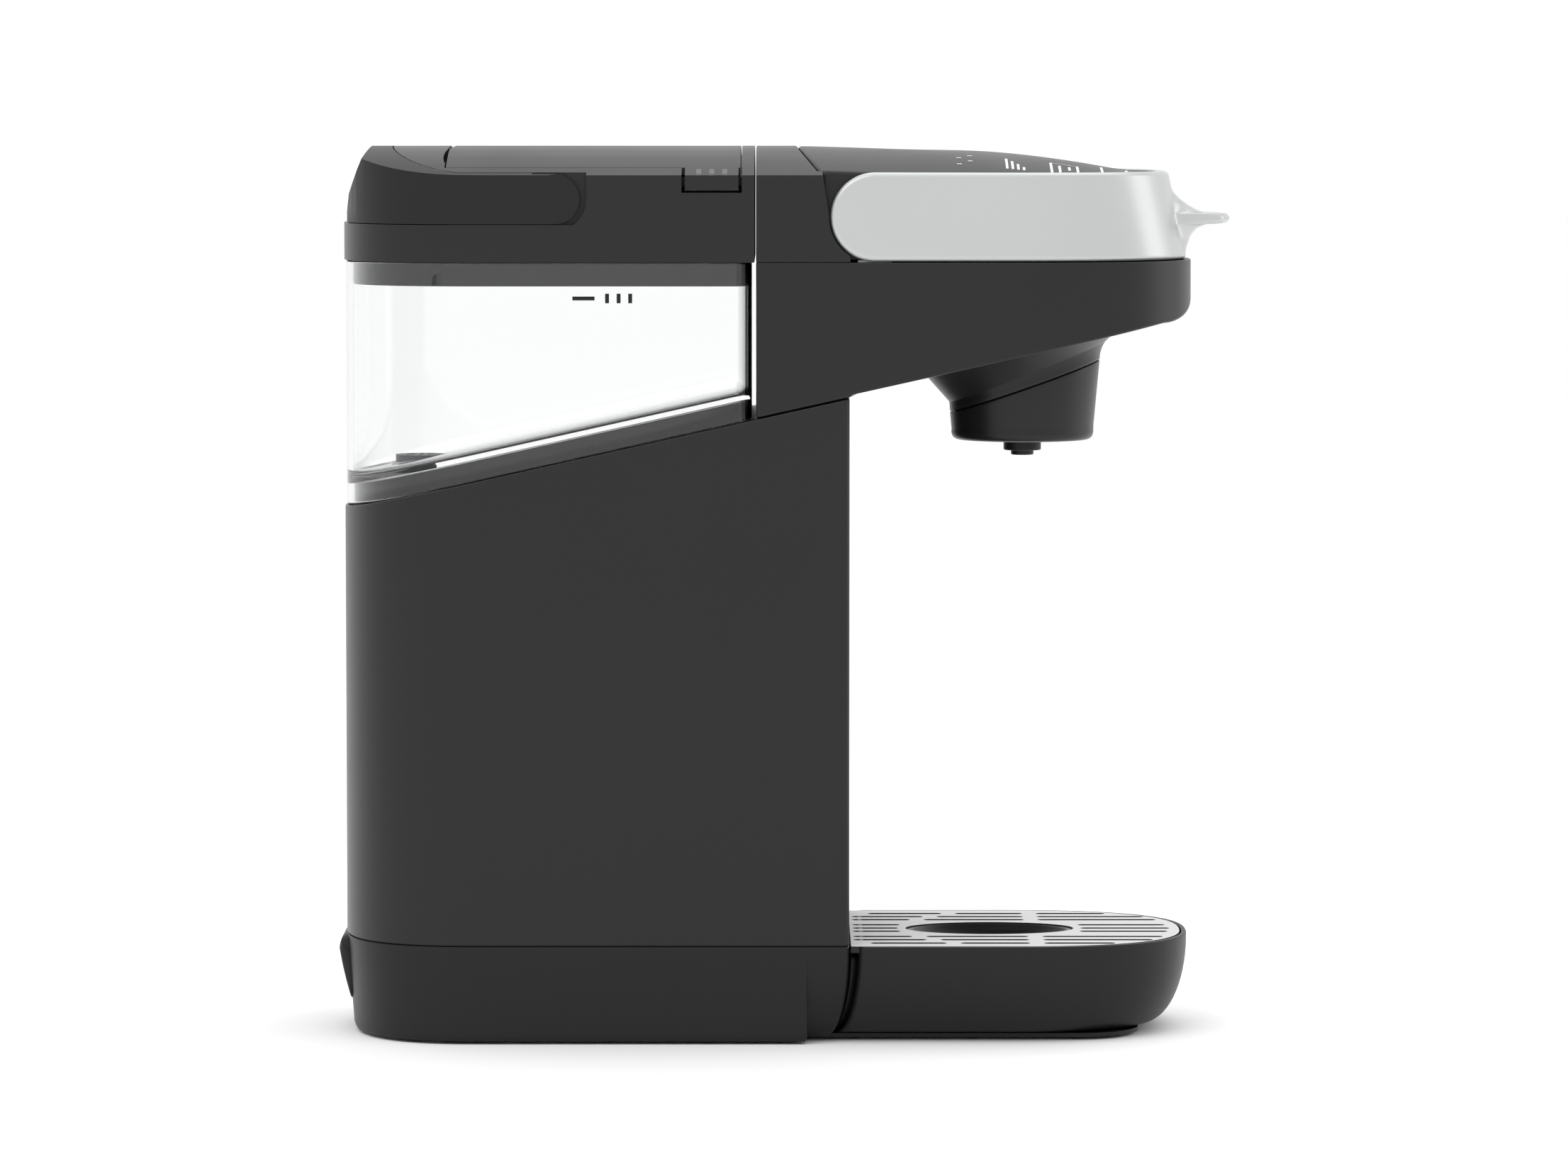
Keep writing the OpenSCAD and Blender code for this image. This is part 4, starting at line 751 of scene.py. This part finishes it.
def buildLid():
    e, w = lidLook["edge"], lidLook["wall"]
    top = [(i, far, 0) for i in (3, 5, 8, 12, 17, 23, 30, 37, 44, 49, 52)]
    under = [(i, far - w, 0) for i in (52, 44, 30, 17, 8)]
    profile = rounded([*under, (w, far - w, 0.8), (w, 0, 0), (0.25, 0, 0), (0, 0.3, 0.1), (0, far, e), *top])
    zPlan = m["zPart"] + lidLook["gap"]
    def floor(x, y):
        # the rear edge is only as deep as the lid's skin
        columns = np.arange(x.shape[1])
        rear = (columns >= 97 + 24 + 1) & (columns < 97 + 24 + 40)
        return np.where(rear, lidTop(x, y) - w - 0.3, zPlan)
    grid = stack(lidPlan, profile, floor, lidTop)
    # both skins end in a line along the middle, where their two sides meet
    grid[[0, -1], :, 0] = 0
    makePiece("podLid", [(grid, False, True)], "lid", "dark_shell", ("pod_lid",))


buildLid()
print("pod lid made")


# tank
tankLook = {"inset": 0.6, "wall": 2.2, "raise": 7.6, "floor": 9.2, "seat": 0.3, "low": 1.0, "lowIn": 3.0,
    "high": 0.6, "top": 278.4,
            "dockY": 131.8, "holeR": 13.4, "plateauH": 7.2}


def buildTank():
    # a clear cup: a raised floor, a skirt below it and walls of one thickness
    v = tankLook
    deep = (56.0, 50, 40, 28, 16, 9)
    profile = rounded([(i, v["raise"], 0) for i in deep] + [(v["wall"], v["raise"], 0.6),
        (v["wall"], 0, 0.5), (0, 0, v["low"]),
                      (0, far, v["high"]), (v["wall"], far, v["high"]), (v["wall"], v["floor"], v["lowIn"])]
                      + [(i, v["floor"], 0) for i in deep[::-1]], 6)
    grid = stack(lambda i: outline(i, m["yTank"], rearCentre, m["backReach"] - v["inset"], 1,
        m["halfW"] - v["inset"], 6.0, 96),
                 profile, lambda x, y: deck(y) + v["seat"], level(v["top"]))
    closeEnd(grid, 0)
    closeEnd(grid, -1)
    makePiece("clearTank", [(grid, False, True)], "tank", "clear", ("tank",))
    # the raised part of the deck that the tank's skirt drops over, with a round hole for the dock
    t = np.radians(np.linspace(0, 360, 129)[:-1])
    a, flat, back = m["halfW"] - v["inset"] - v["wall"] - 0.5, m["yTank"] + v["wall"] + 0.5, m["yBack"] - v["inset"] - v["wall"] - 0.5
    middle, b = (flat + back)/2, (back - flat)/2
    ringX, ringY = a*np.sign(np.cos(t))*np.abs(np.cos(t))**0.35, middle + b*np.sign(np.sin(t))*np.abs(np.sin(t))**0.35
    rear = rearCentre + (back - rearCentre)*np.sqrt(np.maximum(1 - np.abs(ringX/(a + 0.01))**2.5, 0))**0.8
    ringY = np.minimum(ringY, rear)
    holeX, holeY = v["holeR"]*np.cos(t), v["dockY"] + v["holeR"]*np.sin(t)
    rows = []
    for share, up in ((0, 0.3), (0, v["plateauH"] - 0.4), (0.02, v["plateauH"]), (0.3, v["plateauH"]),
        (0.7, v["plateauH"]),
                      (0.98, v["plateauH"]), (1, v["plateauH"] - 0.4), (1, 0.3)):
        x, y = ringX + (holeX - ringX)*share, ringY + (holeY - ringY)*share
        rows.append(np.stack([x, y, deck(y) + up], -1))
    makePiece("deckPlateau", [(np.stack(rows), True, True)], "root", "dark_base")


buildTank()
print("tank made")


# drip tray, grid and dish
trayLook = {"low": 2.5, "front": -146.3, "rear": -26.8, "rollD": 14.3, "rollFrontH": 30.3, "rollW": 13.0,
    "neckRoll": 9.0,
            "wall": 1.8, "ledge": 2.7, "inner": 3.4, "floor": 1.8, "rim": 0.7, "corner": 3.0,
            "coreIn": 7.0, "coreRear": -23.7}


def trayRing(inset, z):
    # the tray's plan at each height: the oval front and the sides roll in towards the bottom
    v = trayLook
    i, z = inset[:, None], z[:, None]
    a = np.maximum(m["halfW"] - rollIn(z, v["low"], v["rollFrontH"], v["rollW"]) - i, 0.02)
    reach = frontCentre - v["front"]
    b = np.maximum(reach - rollIn(z, v["low"], v["rollFrontH"], v["rollD"]) - i, 0.02)
    rear = v["rear"] + rollIn(z, v["low"], m["baseH"] - v["low"], v["neckRoll"]) - i
    turn = np.radians(np.linspace(0, 90, 8))
    r = np.minimum(np.maximum(v["corner"] - i, 0.3), a)
    t = np.radians(np.linspace(0, 180, 121))
    cornerX, cornerY = a - r + r*np.sin(turn), rear - r + r*np.cos(turn)
    x = np.concatenate([cornerX, a*ovalPower(np.cos(t)), -cornerX[:, ::-1]], 1)
    y = np.concatenate([cornerY, frontCentre - b*ovalPower(np.sin(t)), cornerY[:, ::-1]], 1)
    return np.stack([x, y, z + 0*x], -1)


def buildTray():
    v = trayLook
    q = np.radians(np.linspace(0, 90, 17))
    rise = v["low"] + v["rollFrontH"]*(1 - np.cos(q))
    rise[0] = v["low"]
    under = np.array([(i, v["low"]) for i in (43.5, 36, 26, 16, 8, 2)])
    outer = np.stack([np.maximum(0.5*(1 - (rise - v["low"])/0.8), 0), rise], 1)
    top = m["baseH"] - 0.05
    rim = rounded([(0, top - 1.6, 0), (0, top, v["rim"]), (v["wall"], top, 0.3),
        (v["wall"], top - v["ledge"], 0.1),
                   (v["inner"], top - v["ledge"], 0.3), (v["inner"], 16, 0)])[1:-1]
    fall = v["low"] + v["floor"] + (16 - v["low"])*(1 - np.sin(np.radians(np.linspace(0, 90, 9))))
    inner = np.stack([v["inner"] + 0*fall, fall], 1)
    ground = np.array([(i, v["low"] + v["floor"]) for i in (6, 14, 24, 34, 41.5)])
    profile = np.concatenate([under, outer, rim, inner, ground])
    grid = trayRing(profile[:, 0], profile[:, 1])
    closeEnd(grid, 0)
    closeEnd(grid, -1)
    # the narrower rear part: a rounded rectangle at each height, rolled in like the sides and the neck
    z = np.concatenate([[v["low"]], v["low"] + (m["baseH"] - v["ledge"] - v["low"])*(1 - np.cos(q)),
        [m["baseH"] - v["ledge"]]])[:, None]
    half = m["halfW"] - v["coreIn"] - rollIn(z, v["low"], v["rollFrontH"], v["rollW"])
    rear = v["coreRear"] + rollIn(z, m["lift"], baseLook["rollH"], v["neckRoll"])
    turn = np.radians(np.linspace(0, 90, 6))
    coreX, coreY = half - 0.6 + 0.6*np.sin(turn), rear - 0.6 + 0.6*np.cos(turn)
    front = rear - m["wall"] - 1.9
    x = np.concatenate([coreX, half, -half, -coreX[:, ::-1]], 1)
    y = np.concatenate([coreY, front, front, coreY[:, ::-1]], 1)
    core = np.stack([x, y, z + 0*x], -1)
    closeEnd(core, 0)
    closeEnd(core, -1)
    makePiece("dripTray", [(grid, False, True), (core, False, True)], "tray", "dark_base", ("drip_tray",))


dishLook = {"y": -74.8, "halfX": 18.2, "halfY": 30.3, "top": 34.3, "flangeZ": 32.3, "deep": 26.2}


def buildDish():
    # an oval bowl: rings of one oval, scaled by the profile's radius share, with a drain in the middle
    v = dishLook
    q = np.radians(np.linspace(0, 90, 14))
    bowl = np.stack([0.93 - 0.80*(1 - np.cos(q)), v["top"] - (v["top"] - v["deep"] - 1.4)*np.sin(q)], 1)
    profile = np.concatenate([bowl, [[0.125, v["deep"] + 1.3], [0.12, v["deep"]]],
                              bowl[::-1][1:-3]*[1, 1] + [0.03, -1.5],
                              [[1.09, v["flangeZ"] - 1.4], [1.09, v["flangeZ"]],
                              [1.0, v["flangeZ"]], [0.998, v["top"] - 0.3], [0.985, v["top"]],
                              [0.945, v["top"] + 0.02]]])
    t = np.radians(np.linspace(0, 360, 97)[:-1])
    s = profile[:, 0][:, None]
    grid = np.stack([s*v["halfX"]*np.cos(t), v["y"] + s*v["halfY"]*np.sin(t), profile[:, 1][:, None] + 0*t],
        -1)
    # the dish's dark plastic carries painted shade in its middle and a painted highlight towards its front and rear
    # rims
    makePiece("cupDish", [(grid, True, True)], "grid", "dark_base", ("cup_dish",), materials["dishPaintedShadeAndLight"])


buildTray()
buildDish()
softCopy("drip_grid", "slottedGrid", 0.12, 30, 2, material=materials["gridSkin"])
print("tray made")

# printed marks, with a painted shade sheet for the lid's notch and painted highlight bars for the door tab's ribs
markLook = {
    "thick": 0.12, "sink": 0.08, "line": 0.9,
    "dots": [(-66.5, 24.0), (-66.5, 34.0), (-62.5, 29.0), (-62.5, 39.0)], "dotR": 0.9,
    "bars": [(-79.5, 26, 42), (-81.5, 30, 42), (-83.5, 34, 42), (-85.5, 38, 42)],
    "frame": (-105.0, -95.5, 24.0, 43.0), "frameBars": [(-98.5, 28, 39), (-102.0, 28, 34)],
    "arch": (-123.0, -114.0, 14.0, 36.0),
    "levelZ": 266.0, "levelDash": (67.1, 75.0), "dashWide": 1.4, "levelBars": [54.5, 58.6, 62.7],
    "levelTall": 3.4, "levelWide": 1.4,
    "notchY": 122.0, "notchZ": 270.4, "notchTall": 4.6, "notchWide": 5.6,
    "tabBars": [21.0, 25.6, 30.2], "tabZ": 310.6, "tabTall": 2.2,
}


def ribbon(points, up, width, thick, sink):
    # a flat strip along a line of points: half the width to each side of it, from sink below
    # the surface to thick above, with both ends drawn together
    along = np.gradient(points, axis=0)
    across = np.cross(np.asarray(up, float), along)
    across = across/np.linalg.norm(across, axis=1)[:, None]*np.reshape(width, (-1, 1))/2
    up = np.asarray(up, float)
    rows = np.stack([points + across - up*sink, points + across + up*thick,
                     points - across + up*thick, points - across - up*sink])
    ends = [np.repeat(rows[:, k].mean(0)[None, None], 4, 0) for k in (0, -1)]
    return np.concatenate([ends[0], rows, ends[1]], 1), True, False


def onLid(x, y):
    # a line of plan points laid on the crown
    x, y = np.broadcast_arrays(np.asarray(x, float), np.asarray(y, float))
    return np.stack([x, y, lidTop(x, y)], -1)


def buildMarks():
    # the printed marks, the notch's painted shade and the door tab's painted rib highlights, as thin strips laid on
    # the surfaces they sit on
    v = markLook
    flat = (0, 0, 1)
    turn = np.radians(np.linspace(0, 360, 17))
    strips = []
    def lay(x, y):
        strips.append(ribbon(onLid(x, y), flat, v["line"], v["thick"], v["sink"]))
    for side in (-1, 1):
        for y, x in v["dots"]:
            lay(side*(x + v["dotR"]*0.5*np.cos(turn)), y + v["dotR"]*0.5*np.sin(turn))
        for y, low, high in v["bars"] + v["frameBars"]:
            lay(side*np.linspace(low, high, 8), y + np.zeros(8))
        for (back, front, low, high), both in ((v["frame"], True), (v["arch"], False)):
            lay(side*np.linspace(low, high, 12), back + np.zeros(12))
            lay(side*np.linspace(low, high, 12), front + np.zeros(12))
            lay(side*high + np.zeros(6), np.linspace(back, front, 6))
            if both:
                lay(side*low + np.zeros(6), np.linspace(back, front, 6))
    makePiece("lidMarks", strips, "lid", "white_plastic")
    x = -(m["halfW"] - tankLook["inset"])
    dashY = np.linspace(*v["levelDash"], 4)
    marks = [ribbon(np.stack([x + 0*dashY, dashY, v["levelZ"] + 0*dashY], -1), (-1, 0, 0), v["dashWide"],
        v["thick"], v["sink"])]
    for y in v["levelBars"]:
        z = v["levelZ"] + v["levelTall"]*np.linspace(-0.5, 0.5, 4)
        marks.append(ribbon(np.stack([x + 0*z, y + 0*z, z], -1), (-1, 0, 0), v["levelWide"], v["thick"],
            v["sink"]))
    makePiece("levelMarks", marks, "tank", "dark_base")
    # a round-topped notch in the lid's skirt, painted as a dark rubber sheet on the skirt that stands in for the shade
    # in the notch's hollow: width = wide sqrt(1 - share^4) up its height
    z = np.linspace(v["notchZ"], v["notchZ"] + v["notchTall"], 12)
    hit, where, _, _ = frame["nodes"]["tank_lid"].ray_cast(Vector((-0.1, v["notchY"]*mm,
        (v["notchZ"] + 2)*mm)), Vector((1, 0, 0)))
    if hit:
        share = np.linspace(0, 1, 12)
        line = np.stack([where[0]/mm + 0*z, v["notchY"] + 0*z, z], -1)
        makePiece("lidNotchShade", [ribbon(line, (-1, 0, 0), v["notchWide"]*np.sqrt(1 - 0.98*share**4), 0.1, v["sink"])],
                  "tank_lid", "rubber")
    # the door's tab: short raised bars in a lighter grey, a painted highlight for light catching the tab's ribs; each
    # end laid on the surface it meets from the side
    door, bars = frame["nodes"]["fill_door"], []
    for y in v["tabBars"]:
        line = []
        for share in (-0.5, 0.0, 0.5):
            hit, where, _, _ = door.ray_cast(Vector((-0.1, y*mm, (v["tabZ"] + share*v["tabTall"])*mm)),
                Vector((1, 0, 0)))
            if hit:
                line.append(list(where/mm))
        if len(line) == 3:
            bars.append(ribbon(np.array(line), (-1, 0, 0), 1.8, 0.12, v["sink"]))
    if bars:
        makePiece("doorRibHighlights", bars, "fill_door", "white_plastic", (), materials["ribHighlightGrey"])


buildMarks()
print("marks made")

# tank lid, door, handle and head cover
for node, name, flat in (("tank_lid", "tankLid", 1.5), ("fill_door", "fillDoor", 1.5),
    ("tank_handle", "tankHandle", 0.2), ("head_cover", "headCover", 1.5)):
    softCopy(node, name, 0.45, 32, 2, flat)
print("lids made")


# studio
def makeStudio():
    # white surroundings, a pale floor, three soft lamps and a plain view transform
    world = bpy.data.worlds.new("studio")
    world.use_nodes = True
    back = world.node_tree.nodes["Background"]
    back.inputs["Color"].default_value = (*studio["sky"], 1)
    back.inputs["Strength"].default_value = studio["skyPower"]
    bpy.context.scene.world = world
    half = studio["floorHalf"]
    mesh = bpy.data.meshes.new("floor")
    mesh.from_pydata([(-half, -half, -0.0003), (half, -half, -0.0003), (half, half, -0.0003),
        (-half, half, -0.0003)], [], [(0, 1, 2, 3)])
    material, tree = newTree("paleFloor")
    place = add(tree, "ShaderNodeTexCoord", output="Object")
    soft = add(tree, "ShaderNodeTexNoise", None, {"Vector": place, "Scale": 3.0, "Detail": 2.0})
    tone = add(tree, "ShaderNodeMix", {"data_type": "RGBA"},
               {0: soft, 6: grey(studio["floor"][0]*0.99), 7: grey(studio["floor"][0]*1.01)}, output=2)
    shader = add(tree, "ShaderNodeBsdfPrincipled", None,
        {"Base Color": tone, "Roughness": 0.9, "Specular IOR Level": 0.1})
    add(tree, "ShaderNodeOutputMaterial", None, {"Surface": shader})
    mesh.materials.append(material)
    floor = bpy.data.objects.new("floor", mesh)
    bpy.context.scene.collection.objects.link(floor)
    for lamp in studio["lamps"]:
        data = bpy.data.lights.new(lamp["name"], "AREA")
        data.shape, data.size, data.size_y, data.energy = "RECTANGLE", *lamp["size"], lamp["power"]
        light = bpy.data.objects.new(lamp["name"], data)
        light.location = lamp["place"]
        aim = Vector((0, 0, 0.16)) - light.location
        light.rotation_euler = aim.to_track_quat("-Z", "Y").to_euler()
        bpy.context.scene.collection.objects.link(light)
    bpy.context.scene.view_settings.view_transform = "Standard"


makeStudio()
print("studio made")
